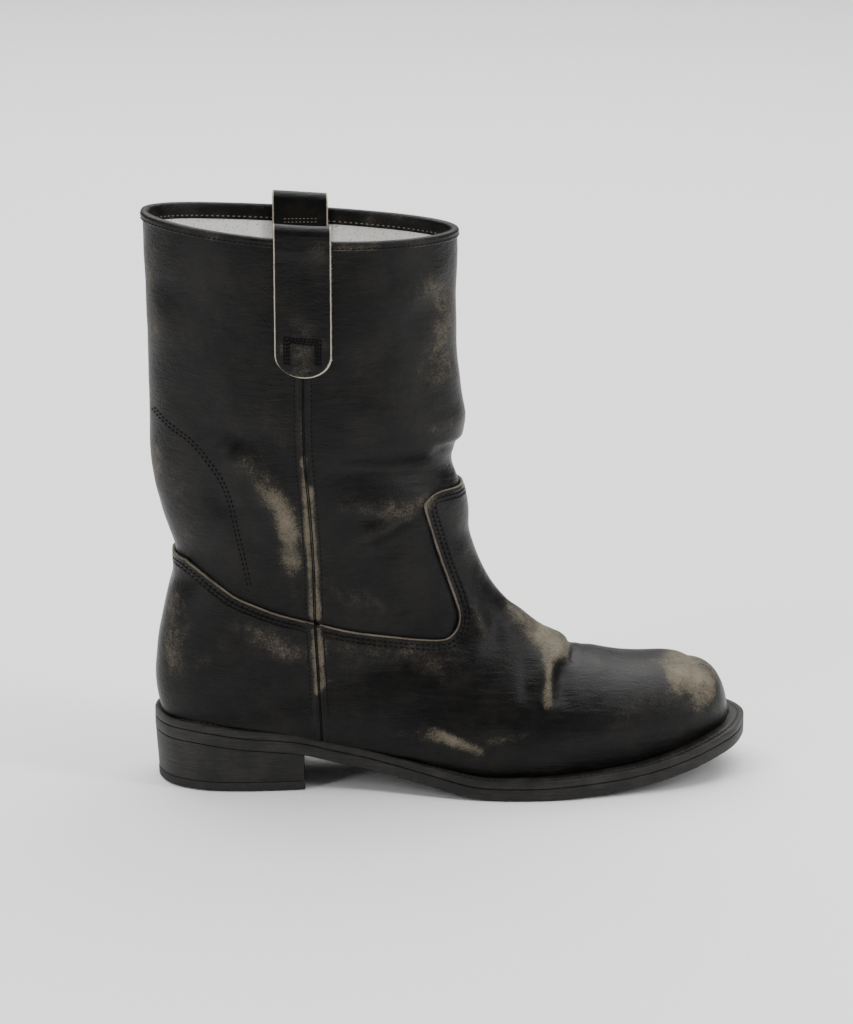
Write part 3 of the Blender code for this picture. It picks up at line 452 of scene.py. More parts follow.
def side_curve(section, low, wide, low_points, top_points):
    """One side of a section as rows of (share of the way to the front, y)."""
    turn = np.linspace(0.0, math.pi / 2.0, low_points + 1)
    rise = section.widest * (1.0 - np.cos(turn) ** (2.0 / section.back_round))
    out = low + (wide - low) * np.sin(turn) ** (2.0 / section.back_round)
    turn = np.linspace(0.0, math.pi / 2.0, top_points + 1)[1:]
    upper = section.widest + (1.0 - section.widest) * np.sin(turn) ** (2.0 / section.front_round)
    back_in = section.ridge + (wide - section.ridge) * np.maximum(np.cos(turn), 0.0) ** (
        2.0 / section.front_round)
    return np.stack([np.concatenate([rise, upper]), np.concatenate([out, back_in])], 1)


UNDER_STEPS = 4
STANDING = 0.97


def closed_section(section, feather, low_points, top_points):
    """Points of a section from the lateral sole edge over the front to the medial one and back."""
    low_lateral, low_medial = -BACK_FLAT, BACK_FLAT
    if section.on_sole > 0.0:
        lateral, medial = edges_at(feather, section.back_x)
        middle = (lateral + medial) / 2.0
        low_lateral += section.on_sole * (min(lateral, middle - BACK_FLAT) - low_lateral)
        low_medial += section.on_sole * (max(medial, middle + BACK_FLAT) - low_medial)
    lateral = side_curve(section, low_lateral, section.wide_lateral, low_points, top_points)
    medial = side_curve(section, low_medial, section.wide_medial, low_points, top_points)
    under = np.linspace(low_medial, low_lateral, UNDER_STEPS + 1)[1:]
    flat = np.vstack([lateral, medial[:-1][::-1], np.stack([np.zeros(UNDER_STEPS), under], 1)])
    share, y = flat[:, 0], flat[:, 1]
    x = section.back_x + share * (section.front_x - section.back_x)
    z = section.back_z + share * (section.front_z - section.back_z)
    half = np.where(y < 0.0, -section.wide_lateral, section.wide_medial)
    return np.stack([x, y, z - section.dip * (y / half) ** 2], 1)


def outward(grid, on_sole):
    """Directions that point out of the form at each point of a grid of closed sections."""
    across = np.cross(grid[1:, 1:] - grid[:-1, :-1], grid[:-1, 1:] - grid[1:, :-1])
    standing = (on_sole[1:] > STANDING)[:, None] & (np.arange(across.shape[1]) >= SIDE_POINTS - 1)
    across[standing] *= 1e-4
    total = np.zeros_like(grid)
    for down in (0, 1):
        for side in (0, 1):
            total[down:total.shape[0] - 1 + down, side:total.shape[1] - 1 + side] += across
    total[:, 0] += total[:, -1]
    total[:, -1] = total[:, 0]
    return total / np.maximum(np.linalg.norm(total, axis=2, keepdims=True), 1e-12)


PER_SPAN = 8
LOW_STEPS, TOP_STEPS = 56, 60
SIDE_POINTS = 2 * (LOW_STEPS + TOP_STEPS) + 1
sections, PLACES = dense_sections(PER_SPAN)
ON_SOLE = np.array([section.on_sole for section in sections])
FORM = np.array([closed_section(section, FEATHER, LOW_STEPS, TOP_STEPS) for section in sections])
BEND_ROW, BEND_REACH, BEND_TURNS = int(np.argmax(ON_SOLE > STANDING)), 14, 40
for turn in range(BEND_TURNS):
    fade = np.exp(-((np.arange(1, len(FORM) - 1) - BEND_ROW) / BEND_REACH) ** 4)[:, None, None]
    FORM[1:-1] += fade * ((FORM[:-2] + FORM[2:]) / 2.0 - FORM[1:-1]) / 2.0
OUT = outward(FORM, ON_SOLE)
if (OUT[5, 10] @ (FORM[5, 10] - FORM[5].mean(0))) < 0.0:
    OUT = -OUT
print("form of", FORM.shape[0], "rows by", FORM.shape[1], "points")

# %% [markdown]
# ## Folds and creases
#
# A boot of soft leather that has been worn keeps the marks of the foot that bent it: the
# shaft sags into rings over the ankle, and the vamp breaks across the ball. Each crease is a
# soft trough or ridge about a line in side view, given where it starts and ends, how wide it
# is and how deep. A ridge stands beside each trough, because the leather has to go somewhere.

# %% Folds of the shaft and vamp
FoldRow = namedtuple("FoldRow", "from_along from_up to_along to_up reach depth side")
# Places in side view as shares of SOLE_LENGTH and of INSTEP_HEIGHT above the ball, reach and
# depth as shares of SHAFT_DEPTH. These are in the solids too.
ANKLE_FOLDS = (
    FoldRow(0.520, 1.085, 0.290, 1.125, 0.050, -0.013, LATERAL),
    FoldRow(0.480, 1.010, 0.340, 0.850, 0.055, 0.011, LATERAL),
    FoldRow(0.085, 1.200, 0.185, 1.140, 0.055, 0.010, LATERAL),
    FoldRow(0.185, 1.140, 0.245, 0.850, 0.050, 0.010, LATERAL),
    FoldRow(0.520, 1.085, 0.330, 1.060, 0.055, -0.013, MEDIAL),
    FoldRow(0.150, 1.120, 0.235, 0.880, 0.060, 0.009, MEDIAL),
)
CreaseRow = namedtuple("CreaseRow", "from_x from_z to_x to_z reach depth side")
# Finer creases in millimetres; side 0 is on both
CREASES = (
    CreaseRow(-20, 184, 22, 180, 8.0, -1.1, LATERAL),
    CreaseRow(-2, 177, 14, 168, 5.0, 0.9, LATERAL),
    CreaseRow(14, 168, 24, 146, 5.0, 0.9, LATERAL),
    CreaseRow(24, 146, 34, 124, 5.5, 0.9, LATERAL),
    CreaseRow(-8, 158, 6, 140, 7.0, -1.4, LATERAL),
    CreaseRow(6, 140, 14, 122, 6.0, -1.0, LATERAL),
    CreaseRow(46, 168, 106, 159, 6.0, -1.3, LATERAL),
    CreaseRow(46, 147, 98, 146, 5.0, 1.0, LATERAL),
    CreaseRow(99, 147, 62, 127, 4.5, 0.9, LATERAL),
    CreaseRow(60, 139, 84, 141, 2.6, -0.35, LATERAL),
    CreaseRow(96, 138, 70, 119, 7.0, -0.9, LATERAL),
    CreaseRow(122, 170, 100, 171, 3.2, -1.5, 0),
    CreaseRow(122, 183, 100, 185, 6.0, 0.7, 0),
    CreaseRow(112, 264, 74, 240, 7.0, 0.8, LATERAL),
    CreaseRow(112, 252, 86, 232, 6.0, -0.6, LATERAL),
    CreaseRow(-34, 262, -10, 240, 8.0, -0.7, LATERAL),
    CreaseRow(-36, 242, -12, 222, 7.0, 0.5, LATERAL),
    CreaseRow(106, 224, 84, 200, 9.0, -0.7, LATERAL),
    CreaseRow(56, 214, 84, 222, 8.0, -0.5, LATERAL),
    CreaseRow(-30, 204, 4, 198, 9.0, -0.6, LATERAL),
    CreaseRow(58, 196, 98, 190, 8.0, 0.6, LATERAL),
    CreaseRow(168, 66, 158, 62, 2.6, 0.9, 0),
    CreaseRow(159, 64, 157, 42, 3.2, 1.5, LATERAL),
    CreaseRow(149, 68, 146, 44, 5.0, -1.3, LATERAL),
    CreaseRow(167, 62, 165, 44, 4.2, -1.2, LATERAL),
    CreaseRow(174, 65, 171, 60, 2.6, -1.6, 0),
    CreaseRow(140, 87, 160, 72, 4.5, 0.8, 0),
    CreaseRow(132, 88, 134, 66, 4.5, -0.7, LATERAL),
    CreaseRow(121, 93, 128, 74, 4.0, 1.0, LATERAL),
    CreaseRow(128, 74, 108, 54, 5.0, 0.9, LATERAL),
    CreaseRow(112, 88, 116, 68, 4.5, -0.7, LATERAL),
    CreaseRow(108, 66, 60, 76, 4.0, 0.5, LATERAL),
    CreaseRow(92, 58, 60, 62, 5.0, -0.5, LATERAL),
    CreaseRow(186, 62, 184, 44, 4.5, 0.5, LATERAL),
    CreaseRow(96, 36, 122, 26, 4.0, 0.5, LATERAL),
    CreaseRow(142, 33, 118, 28, 3.5, -0.4, LATERAL),
    CreaseRow(168, 66, 158, 40, 4.0, 1.2, MEDIAL),
    CreaseRow(154, 70, 146, 40, 5.0, -1.2, MEDIAL),
    CreaseRow(178, 64, 172, 42, 4.5, -1.0, MEDIAL),
    CreaseRow(138, 84, 128, 46, 4.5, 0.8, MEDIAL),
    CreaseRow(124, 84, 112, 52, 5.5, -0.9, MEDIAL),
    CreaseRow(106, 168, 40, 160, 6.0, -1.3, MEDIAL),
    CreaseRow(100, 150, 36, 142, 5.0, 0.9, MEDIAL),
    CreaseRow(-24, 176, 20, 166, 7.0, -1.1, MEDIAL),
    CreaseRow(-18, 160, 26, 140, 6.0, 0.9, MEDIAL),
    CreaseRow(-10, 144, 20, 126, 6.0, -0.8, MEDIAL),
    CreaseRow(110, 262, 70, 236, 8.0, 0.7, MEDIAL),
    CreaseRow(-30, 250, 6, 226, 8.0, -0.7, MEDIAL),
    CreaseRow(100, 220, 60, 204, 9.0, -0.6, MEDIAL),
)


def along_line(points, start, end):
    """Distance from a side view line, and the share of the way along it."""
    way = end - start
    flat = points[..., [0, 2]] - start
    share = np.clip(flat @ way / (way @ way), 0.0, 1.0)
    return np.linalg.norm(flat - share[..., None] * way, axis=-1), share


def fold_height(points):
    """How far the folds of the solids push the leather out."""
    height = np.zeros(points.shape[:-1])
    ball_seat = float(seat_height(along(0.54)))
    for row in ANKLE_FOLDS:
        start = np.array([along(row.from_along), ball_seat + row.from_up * INSTEP_HEIGHT])
        end = np.array([along(row.to_along), ball_seat + row.to_up * INSTEP_HEIGHT])
        away, share = along_line(points, start, end)
        ends = smooth_step(0.25 + 3.0 * share) * smooth_step(0.25 + 3.0 * (1.0 - share))
        on_side = smooth_step(0.5 + row.side * points[..., 1] / 0.02)
        height += row.depth * SHAFT_DEPTH * np.exp(-(away / (row.reach * SHAFT_DEPTH)) ** 2) * ends * on_side
    return height


def crease_height(points):
    """How far the finer creases push the leather out: a trough or ridge with soft shoulders."""
    height = np.zeros(points.shape[:-1])
    for row in CREASES:
        start, end = np.array([row.from_x, row.from_z]) * MM, np.array([row.to_x, row.to_z]) * MM
        away, share = along_line(points, start, end)
        ends = smooth_step(0.15 + 2.5 * share) * smooth_step(0.15 + 2.5 * (1.0 - share))
        on_side = 1.0
        if row.side:
            on_side = smooth_step(0.5 + row.side * points[..., 1] / 0.024)
        near = (away / (row.reach * MM)) ** 2
        height += row.depth * MM * (1.35 * np.exp(-near) - 0.35 * np.exp(-near / 3.0)) * ends * on_side
    return height


def sag(points, size, seed):
    """Slow unevenness of soft leather, between -1 and 1."""
    flat = points.reshape(-1, 3)
    shift = Vector((seed, seed * 1.7, -seed))
    values = [noise.noise(Vector(point) / size + shift) for point in flat]
    return np.array(values).reshape(points.shape[:-1])


SOFT = crease_height(FORM)
low_leather = smooth_step((0.6 - PLACES / TABLE_END) / 0.3)[:, None]
UNEVEN = 0.55 * MM * sag(FORM, 0.032, 3.1) * (0.45 + 0.55 * low_leather) + 0.16 * MM * sag(FORM, 0.011, 8.4)
SHIFT = fold_height(FORM) + SOFT + UNEVEN
print("creases push from", round(SOFT.min() * 1000, 2), "to", round(SOFT.max() * 1000, 2), "mm")

# %% [markdown]
# ## Skins of leather
#
# A grid from the modeller's own operator is laid on the form, and every point moved to its
# place. Pieces that lie on top, such as the vamp, are cut out of the same grid along their
# pattern line, the way a clicker cuts hide, and then get their thickness.


# %% Lay a grid on the form
def lay_grid(points, name):
    """Mesh of quads on a grid of points, made from one flat grid."""
    rows, count = points.shape[:2]
    form = bmesh.new()
    bmesh.ops.create_grid(form, x_segments=count - 1, y_segments=rows - 1, size=1.0)
    form.verts.ensure_lookup_table()
    order = sorted(form.verts, key=lambda vert: (round(-vert.co.y, 6), vert.co.x))
    for vert, place in zip(order, points.reshape(-1, 3)):
        vert.co = place
    for index, vert in enumerate(order):
        vert.index = index
    return form


def finish_piece(name, form, finish, nodes=(), layers=None, flat_angle=40.0):
    """Object of a mesh, with its material, riding on the boot in place of the named nodes."""
    mesh = bpy.data.meshes.new(name)
    form.to_mesh(mesh)
    form.free()
    piece = bpy.data.objects.new(name, mesh)
    bpy.context.scene.collection.objects.link(piece)
    mesh.materials.append(finish)
    mesh.shade_smooth()
    mesh.set_sharp_from_angle(angle=math.radians(flat_angle))
    for layer, values in (layers or {}).items():
        attribute = mesh.attributes.new(layer, "FLOAT", "POINT")
        attribute.data.foreach_set("value", np.asarray(values, np.float32))
    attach(piece, "root")
    if nodes:
        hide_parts(*nodes)
    print(name, len(mesh.polygons), "faces")
    return piece


# %% Close the toe
def close_toe(points, ways):
    """Rows that bring both sides of the last section together at the tip of the toe."""
    last, way = points[-1], ways[-1]
    middle = last.copy()
    middle[:SIDE_POINTS, 1] = (last[:SIDE_POINTS, 1] + last[:SIDE_POINTS][::-1, 1]) / 2.0
    middle[SIDE_POINTS:, 1] = middle[0, 1]
    added, added_ways = [], []
    half_width = np.abs(last[:, 1] - middle[:, 1]).max()
    print("toe tip half width", round(half_width * 1000, 2), "mm")
    for share in (0.75, 0.5, 0.25, 0.0):
        row = middle + (last - middle) * share
        row[:, 0] += 0.20 * half_width * (1.0 - share ** 2)
        turned = way * share + np.array([1.0, 0.0, 0.0]) * (1.0 - share)
        added.append(row)
        added_ways.append(turned / np.linalg.norm(turned, axis=1)[:, None])
    return np.concatenate([points, added]), np.concatenate([ways, added_ways])


CLOSED_FORM, CLOSED_OUT = close_toe(FORM, OUT)
EXTRA = len(CLOSED_FORM) - len(FORM)
SHIFT = np.vstack([SHIFT, np.repeat(SHIFT[-1:], EXTRA, 0)])
ROW_PLACES = np.concatenate([PLACES, np.full(EXTRA, PLACES[-1])])


def covered_depth(places):
    """How much deeper the upper lies where the vamp and counter cover it."""
    return (OVERLAY_THICKNESS + GAP) * smooth_step((places - len(SHAFT_SECTIONS) + 1.0) / 2.0)


def skin(offset):
    """Points of a skin a distance above the upper's own surface."""
    rise = SHIFT + (offset - covered_depth(ROW_PLACES))[:, None]
    return CLOSED_FORM + CLOSED_OUT * rise[..., None]


UPPER_SKIN = skin(0.0)
OVERLAY_SKIN = skin(GAP + OVERLAY_THICKNESS)
print("skin from", UPPER_SKIN.reshape(-1, 3).min(0).round(3), "to", UPPER_SKIN.reshape(-1, 3).max(0).round(3))

# %% Pattern lines of the vamp and counter
SeamRow = namedtuple("SeamRow", "along up")
VAMP_EDGE = (
    SeamRow(0.269, 0.571),
    SeamRow(0.327, 0.538),
    SeamRow(0.400, 0.512),
    SeamRow(0.471, 0.492),
    SeamRow(0.497, 0.503),
    SeamRow(0.509, 0.548),
    SeamRow(0.505, 0.615),
    SeamRow(0.478, 0.780),
    SeamRow(0.453, 0.966),
    SeamRow(0.458, 1.004),
    SeamRow(0.478, 1.021),
    SeamRow(0.517, 1.018),
    SeamRow(0.570, 1.010),
)
COUNTER_EDGE = (
    SeamRow(0.269, 0.571),
    SeamRow(0.213, 0.602),
    SeamRow(0.176, 0.630),
    SeamRow(0.138, 0.663),
    SeamRow(0.101, 0.713),
    SeamRow(0.063, 0.765),
    SeamRow(0.042, 0.780),
    SeamRow(-0.060, 0.800),
)
SIDE_SEAM = (
    SeamRow(0.253, 1.500),
    SeamRow(0.253, 1.215),
    SeamRow(0.261, 0.997),
    SeamRow(0.267, 0.790),
    SeamRow(0.269, 0.571),
    SeamRow(0.272, 0.447),
    SeamRow(0.276, 0.280),
    SeamRow(0.279, 0.150),
)


def seam_line(rows, step=1.5 * MM):
    """Smooth side view line through a seam's rows, as (x, z)."""
    base = float(seat_height(along(0.54)))
    points = [(along(row.along), base + row.up * INSTEP_HEIGHT) for row in rows]
    return resample(smooth_curve(points, closed=False), step)


VAMP_LINE = seam_line(VAMP_EDGE)
COUNTER_LINE = seam_line(COUNTER_EDGE)
SEAM_LINE = seam_line(SIDE_SEAM)
print("vamp edge", round(np.linalg.norm(np.diff(VAMP_LINE, axis=0), axis=1).sum() * 1000), "mm a side")


# %% Bring a side view place onto a skin
def outline_side(points, outline):
    """Signed distance of side view points from a closed outline, positive inside."""
    start, end = outline, np.roll(outline, -1, 0)
    way = end - start
    best = np.full(len(points), 1e9)
    inside = np.zeros(len(points), bool)
    for (x0, z0), (dx, dz) in zip(start, way):
        px, pz = points[:, 0] - x0, points[:, 1] - z0
        share = np.clip((px * dx + pz * dz) / max(dx * dx + dz * dz, 1e-15), 0.0, 1.0)
        best = np.minimum(best, np.hypot(px - share * dx, pz - share * dz))
        if abs(dz) > 1e-12:
            crosses = (pz < 0.0) != (pz - dz < 0.0)
            inside ^= crosses & (px < dx * pz / dz)
    return np.where(inside, best, -best)


def line_distance(points, line):
    """Distance of side view points from an open line."""
    best = np.full(len(points), 1e9)
    for (x0, z0), (x1, z1) in zip(line[:-1], line[1:]):
        dx, dz = x1 - x0, z1 - z0
        px, pz = points[:, 0] - x0, points[:, 1] - z0
        share = np.clip((px * dx + pz * dz) / max(dx * dx + dz * dz, 1e-15), 0.0, 1.0)
        best = np.minimum(best, np.hypot(px - share * dx, pz - share * dz))
    return best


def side_view(form):
    """Side view places of a mesh's points."""
    return np.array([(vert.co.x, vert.co.z) for vert in form.verts])


def cut_out(form, outline, level=0.0):
    """Keep the part of a skin that lies a distance inside an outline, with its border on the line."""
    inside = outline_side(side_view(form), outline) - level
    form.verts.index_update()
    on_line = [vert for vert in form.verts if abs(inside[vert.index]) < 1e-5]
    marked = {vert: float(inside[vert.index]) for vert in form.verts}
    for edge in list(form.edges):
        first, second = edge.verts
        here, there = marked[first], marked[second]
        if here * there < 0.0 and min(abs(here), abs(there)) > 1e-5:
            made = bmesh.utils.edge_split(edge, first, here / (here - there))[1]
            marked[made] = 0.0
            on_line.append(made)
    bmesh.ops.connect_verts(form, verts=on_line)
    outside = [face for face in form.faces if min(marked[vert] for vert in face.verts) < -1e-5]
    bmesh.ops.delete(form, geom=outside, context="FACES")
    return form


# %% The upper's skins
def without_underside(form, thinned=1):
    """Take away the faces that would run across under the foot, and turn the rest outwards."""
    count = (UPPER_SKIN.shape[1] - 1) // thinned + 1
    first_row = int(np.argmax(ON_SOLE > STANDING)) // thinned
    last_side = (SIDE_POINTS - 1) // thinned
    under = [face for face in form.faces
             if min(vert.index // count for vert in face.verts) >= first_row - 1
             and min(vert.index % count for vert in face.verts) >= last_side]
    bmesh.ops.delete(form, geom=under, context="FACES")
    bmesh.ops.remove_doubles(form, verts=form.verts[:], dist=0.00002)
    return face_out(form)


def face_out(form):
    """Turn all faces of a skin so that the outermost one looks away from the boot."""
    form.normal_update()
    outer = max(form.faces, key=lambda face: abs(face.calc_center_median().y))
    if outer.normal.y * outer.calc_center_median().y < 0.0:
        bmesh.ops.reverse_faces(form, faces=form.faces[:])
    return form


HALF_SEAM = 0.12 * MM
SEAM_TOP = float(VAMP_LINE[0, 1])
SEAM_LOW = SEAM_LINE[SEAM_LINE[:, 1] < SEAM_TOP]
UNDER_SOLE = -0.05
VAMP_OUTLINE = np.vstack([VAMP_LINE, [[0.40, VAMP_LINE[-1, 1]], [0.40, UNDER_SOLE],
                                      [SEAM_LOW[-1, 0] + HALF_SEAM, UNDER_SOLE]],
                          SEAM_LOW[::-1] + [HALF_SEAM, 0.0]])
COUNTER_OUTLINE = np.vstack([COUNTER_LINE, [[-0.30, COUNTER_LINE[-1, 1]], [-0.30, UNDER_SOLE],
                                            [SEAM_LOW[-1, 0] - HALF_SEAM, UNDER_SOLE]],
                             SEAM_LOW[::-1] - [HALF_SEAM, 0.0]])
HIDDEN = 6.0 * MM


def upper_form():
    """Skin of the whole upper, without what the vamp and counter hide."""
    form = without_underside(lay_grid(UPPER_SKIN, "upper"))
    places = side_view(form)
    covered = np.maximum(outline_side(places, VAMP_OUTLINE), outline_side(places, COUNTER_OUTLINE))
    form.verts.index_update()
    hidden = [face for face in form.faces if min(covered[vert.index] for vert in face.verts) > HIDDEN]
    bmesh.ops.delete(form, geom=hidden, context="FACES")
    return form


def overlay_form(outline):
    """Skin of a piece laid on the upper, cut to its outline."""
    return cut_out(without_underside(lay_grid(OVERLAY_SKIN, "overlay")), outline)


# %% [markdown]
# ## Where the boot has been rubbed, and where highlights are painted
#
# The hide is dyed black on top of a pale tanned core. Brushing and use take the black off
# wherever the leather stands proud: the toe, the break of the vamp, the heel, the seams. Each
# place is a soft stroke in side view with a strength, and the material breaks it into grain.

# A few strokes are painted highlights, not wear: the lit front panel ridge, the shaft crease, a shaft patch and
# the toe top.
# %% Rubbed places and painted highlights
RubAndSheenRow = namedtuple("RubAndSheenRow", "from_x from_z to_x to_z reach strength side")
RUB_AND_SHEEN_PLACES = (
    RubAndSheenRow(226, 54, 240, 46, 10.5, 0.80, 0),
    RubAndSheenRow(229, 51, 236, 46, 6.0, 0.62, 0),
    RubAndSheenRow(222, 48, 230, 38, 9.0, 0.36, LATERAL),
    RubAndSheenRow(222, 48, 238, 36, 10.0, 0.40, MEDIAL),
    RubAndSheenRow(140, 86, 160, 72, 4.4, 0.62, 0),
    RubAndSheenRow(157, 73, 169, 64, 4.6, 0.86, 0),
    RubAndSheenRow(159, 66, 157, 46, 3.2, 0.70, LATERAL),
    RubAndSheenRow(150, 76, 164, 64, 8.0, 0.35, LATERAL),
    RubAndSheenRow(120, 94, 128, 78, 4.6, 0.46, LATERAL),
    RubAndSheenRow(97, 35, 108, 29, 4.4, 0.48, LATERAL),
    RubAndSheenRow(106, 31, 124, 24, 3.6, 0.72, LATERAL),
    RubAndSheenRow(128, 29, 147, 32, 2.8, 0.48, LATERAL),
    RubAndSheenRow(80, 31, 100, 29, 5.0, 0.35, LATERAL),
    RubAndSheenRow(-26, 96, -28, 60, 7.5, 0.52, 0),
    RubAndSheenRow(-20, 76, -14, 66, 9.0, 0.40, 0),
    RubAndSheenRow(4, 84, 34, 72, 7.5, 0.44, 0),
    RubAndSheenRow(22, 82, 40, 70, 9.0, 0.30, 0),
    RubAndSheenRow(48, 78, 112, 66, 7.0, 0.36, LATERAL),
    RubAndSheenRow(56, 66, 104, 62, 9.0, 0.26, 0),
    RubAndSheenRow(12, 170, 26, 148, 8.0, 0.46, LATERAL),
    RubAndSheenRow(27, 150, 34, 118, 6.5, 0.66, LATERAL),
    RubAndSheenRow(30, 130, 34, 100, 5.5, 0.40, LATERAL),
    RubAndSheenRow(37, 196, 38.2, 170, 1.9, 0.50, 0),
    RubAndSheenRow(38, 172, 41.6, 90, 1.9, 0.78, 0),
    RubAndSheenRow(41.6, 158, 44.8, 90, 1.9, 0.80, 0),
    RubAndSheenRow(42.2, 84, 44.2, 52, 2.0, 0.80, 0),
    RubAndSheenRow(45.2, 84, 47.2, 56, 2.0, 0.76, 0),
    RubAndSheenRow(50, 104, 74, 96, 9.0, 0.40, LATERAL),
    # Painted highlight: the lit ridge and fold of the front panel, laid as rub
    RubAndSheenRow(48, 148, 96, 146, 7.0, 0.36, LATERAL),
    RubAndSheenRow(98, 146, 62, 128, 6.0, 0.26, LATERAL),
    RubAndSheenRow(106, 250, 107, 208, 9.5, 0.54, LATERAL),
    RubAndSheenRow(104, 244, 106, 216, 10.0, 0.30, MEDIAL),
    RubAndSheenRow(100, 214, 84, 206, 10.0, 0.30, LATERAL),
    RubAndSheenRow(115, 186, 104, 182, 6.0, 0.42, 0),
    RubAndSheenRow(-36, 270, -35, 226, 5.5, 0.52, 0),
    RubAndSheenRow(-36, 216, -34, 150, 4.0, 0.42, 0),
    RubAndSheenRow(-32, 168, -20, 140, 8.0, 0.38, 0),
    RubAndSheenRow(-24, 130, -18, 118, 6.0, 0.36, 0),
    RubAndSheenRow(112, 140, 122, 104, 6.5, 0.32, 0),
    RubAndSheenRow(56, 232, 66, 214, 10.0, 0.26, LATERAL),
    # Painted highlight: the broad lit patch on the back half of the shaft
    RubAndSheenRow(-16, 232, 8, 226, 12.0, 0.24, 0),
    RubAndSheenRow(-22, 262, -4, 246, 10.0, 0.24, 0),
    RubAndSheenRow(20, 190, 34, 172, 9.0, 0.24, 0),
    # Painted highlights: the lit diagonal crease of the shaft, and the lit top of the toe in the next row
    RubAndSheenRow(74, 240, 112, 264, 9.0, 0.24, 0),
    RubAndSheenRow(180, 58, 206, 52, 10.0, 0.24, 0),
    RubAndSheenRow(172, 44, 184, 34, 9.0, 0.22, LATERAL),
    RubAndSheenRow(196, 40, 206, 30, 8.0, 0.22, LATERAL),
    RubAndSheenRow(20, 60, 110, 40, 9.0, 0.26, MEDIAL),
    RubAndSheenRow(150, 50, 180, 36, 8.0, 0.38, MEDIAL),
)


# A stroke's border wanders by about this share of its reach, over patches of this size
RUB_WANDER, RUB_WANDER_SIZE = 0.5, 0.013


def rubbed(points):
    """How far the black has been rubbed off at each point, from 0 to about 1, with the painted highlights
    included.
    """
    whole = np.ones(len(points))
    wander = RUB_WANDER * sag(points, RUB_WANDER_SIZE, 5.7)
    for row in RUB_AND_SHEEN_PLACES:
        start, end = np.array([row.from_x, row.from_z]) * MM, np.array([row.to_x, row.to_z]) * MM
        away, share = along_line(points, start, end)
        on_side = 1.0
        if row.side:
            on_side = smooth_step(0.5 + row.side * points[:, 1] / 0.020)
        near = np.exp(-np.maximum(away / (row.reach * MM) + wander, 0.0) ** 2)
        whole = whole * (1.0 - np.clip(row.strength * near * on_side, 0.0, 0.98))
    return 1.0 - whole


def leather_layers(form, edges=()):
    """What the leather material asks of each point: wear with painted highlights, crest height and distance to a
    cut edge.
    """
    points = np.array([tuple(vert.co) for vert in form.verts])
    crest = crease_height(points) + fold_height(points)
    border = np.full(len(points), 30.0)
    for line in edges:
        border = np.minimum(border, line_distance(points[:, [0, 2]], line) / MM)
    # Rubbed wear, plus the painted highlights of the marked strokes
    worn = rubbed(points) + 0.16 * np.exp(-((border - 1.6) / 1.6) ** 2) + 0.07 * np.clip(crest / MM, -1.0, 1.5)
    return {"rub_and_sheen": worn, "edge": border}


# %% [markdown]
# ## Materials
#
# Each finish starts from what the real one is. The hide is chrome tanned cowhide, dyed black,
# waxed and brushed: a half gloss that lives in a fine pebble grain. Patterns are sized in
# millimetres, through one function that turns a size into a noise scale.

# %% Colour and node helpers
def linear(code):
    """Linear colour of an sRGB hex value."""
    parts = [int(code[start:start + 2], 16) / 255.0 for start in (0, 2, 4)]
    return tuple(part / 12.92 if part <= 0.04045 else ((part + 0.055) / 1.055) ** 2.4
                 for part in parts) + (1.0,)


def per_mm(size):
    """Scale of a pattern whose features are a size in millimetres."""
    return 1000.0 / size


def new_finish(name):
    """Empty material with its node tree and shader."""
    made = bpy.data.materials.new(name)
    made.use_nodes = True
    tree = made.node_tree
    return made, tree, tree.nodes["Principled BSDF"]


def add_node(tree, kind, settings=None, **links):
    """Node with its settings, sockets set by value or linked from another node's output."""
    node = tree.nodes.new(kind)
    for name, value in (settings or {}).items():
        setattr(node, name, value)
    for name, value in links.items():
        key = int(name[1:]) if name[0] == "i" and name[1:].isdigit() else name.replace("_", " ")
        socket = node.inputs[key]
        if isinstance(value, bpy.types.NodeSocket):
            tree.links.new(value, socket)
        else:
            socket.default_value = value
    return node


def ramp(tree, factor, low, high, colors=((0, 0, 0, 1), (1, 1, 1, 1))):
    """Colour ramp between two places."""
    node = add_node(tree, "ShaderNodeValToRGB", Fac=factor)
    node.color_ramp.elements[0].position = low
    node.color_ramp.elements[1].position = high
    node.color_ramp.elements[0].color = colors[0]
    node.color_ramp.elements[1].color = colors[1]
    return node.outputs["Color"]


def math_node(tree, operation, first, second=0.0, clamp=False):
    """Value of a sum of two sockets or numbers."""
    return add_node(tree, "ShaderNodeMath", {"operation": operation, "use_clamp": clamp},
                    i0=first, i1=second).outputs["Value"]


def mix_color(tree, factor, first, second, blend="MIX"):
    """Mix of two colours."""
    node = add_node(tree, "ShaderNodeMix", {"data_type": "RGBA", "blend_type": blend})
    for key, value in ((0, factor), (6, first), (7, second)):
        if isinstance(value, bpy.types.NodeSocket):
            tree.links.new(value, node.inputs[key])
        else:
            node.inputs[key].default_value = value
    return node.outputs[2]


def pattern(tree, kind, size, stretch=(1.0, 1.0, 1.0), **settings):
    """Noise or cell pattern on object coordinates, sized in millimetres."""
    place = add_node(tree, "ShaderNodeTexCoord").outputs["Object"]
    if stretch != (1.0, 1.0, 1.0):
        place = add_node(tree, "ShaderNodeMapping", Vector=place, Scale=stretch).outputs["Vector"]
    return add_node(tree, kind, Vector=place, Scale=per_mm(size), **settings)


def layer(tree, name):
    """Value of a mesh's own layer."""
    return add_node(tree, "ShaderNodeAttribute", {"attribute_name": name}).outputs["Fac"]


# %% Waxed and brushed cowhide
BLACK_DYE = linear("080808")
BROWN_BLACK = linear("161412")
# Brown grey of rubbed hide; it also paints the marked highlights
RUB_AND_SHEEN_BROWN = linear("35312a")
BARE_CORE = linear("7b7261")


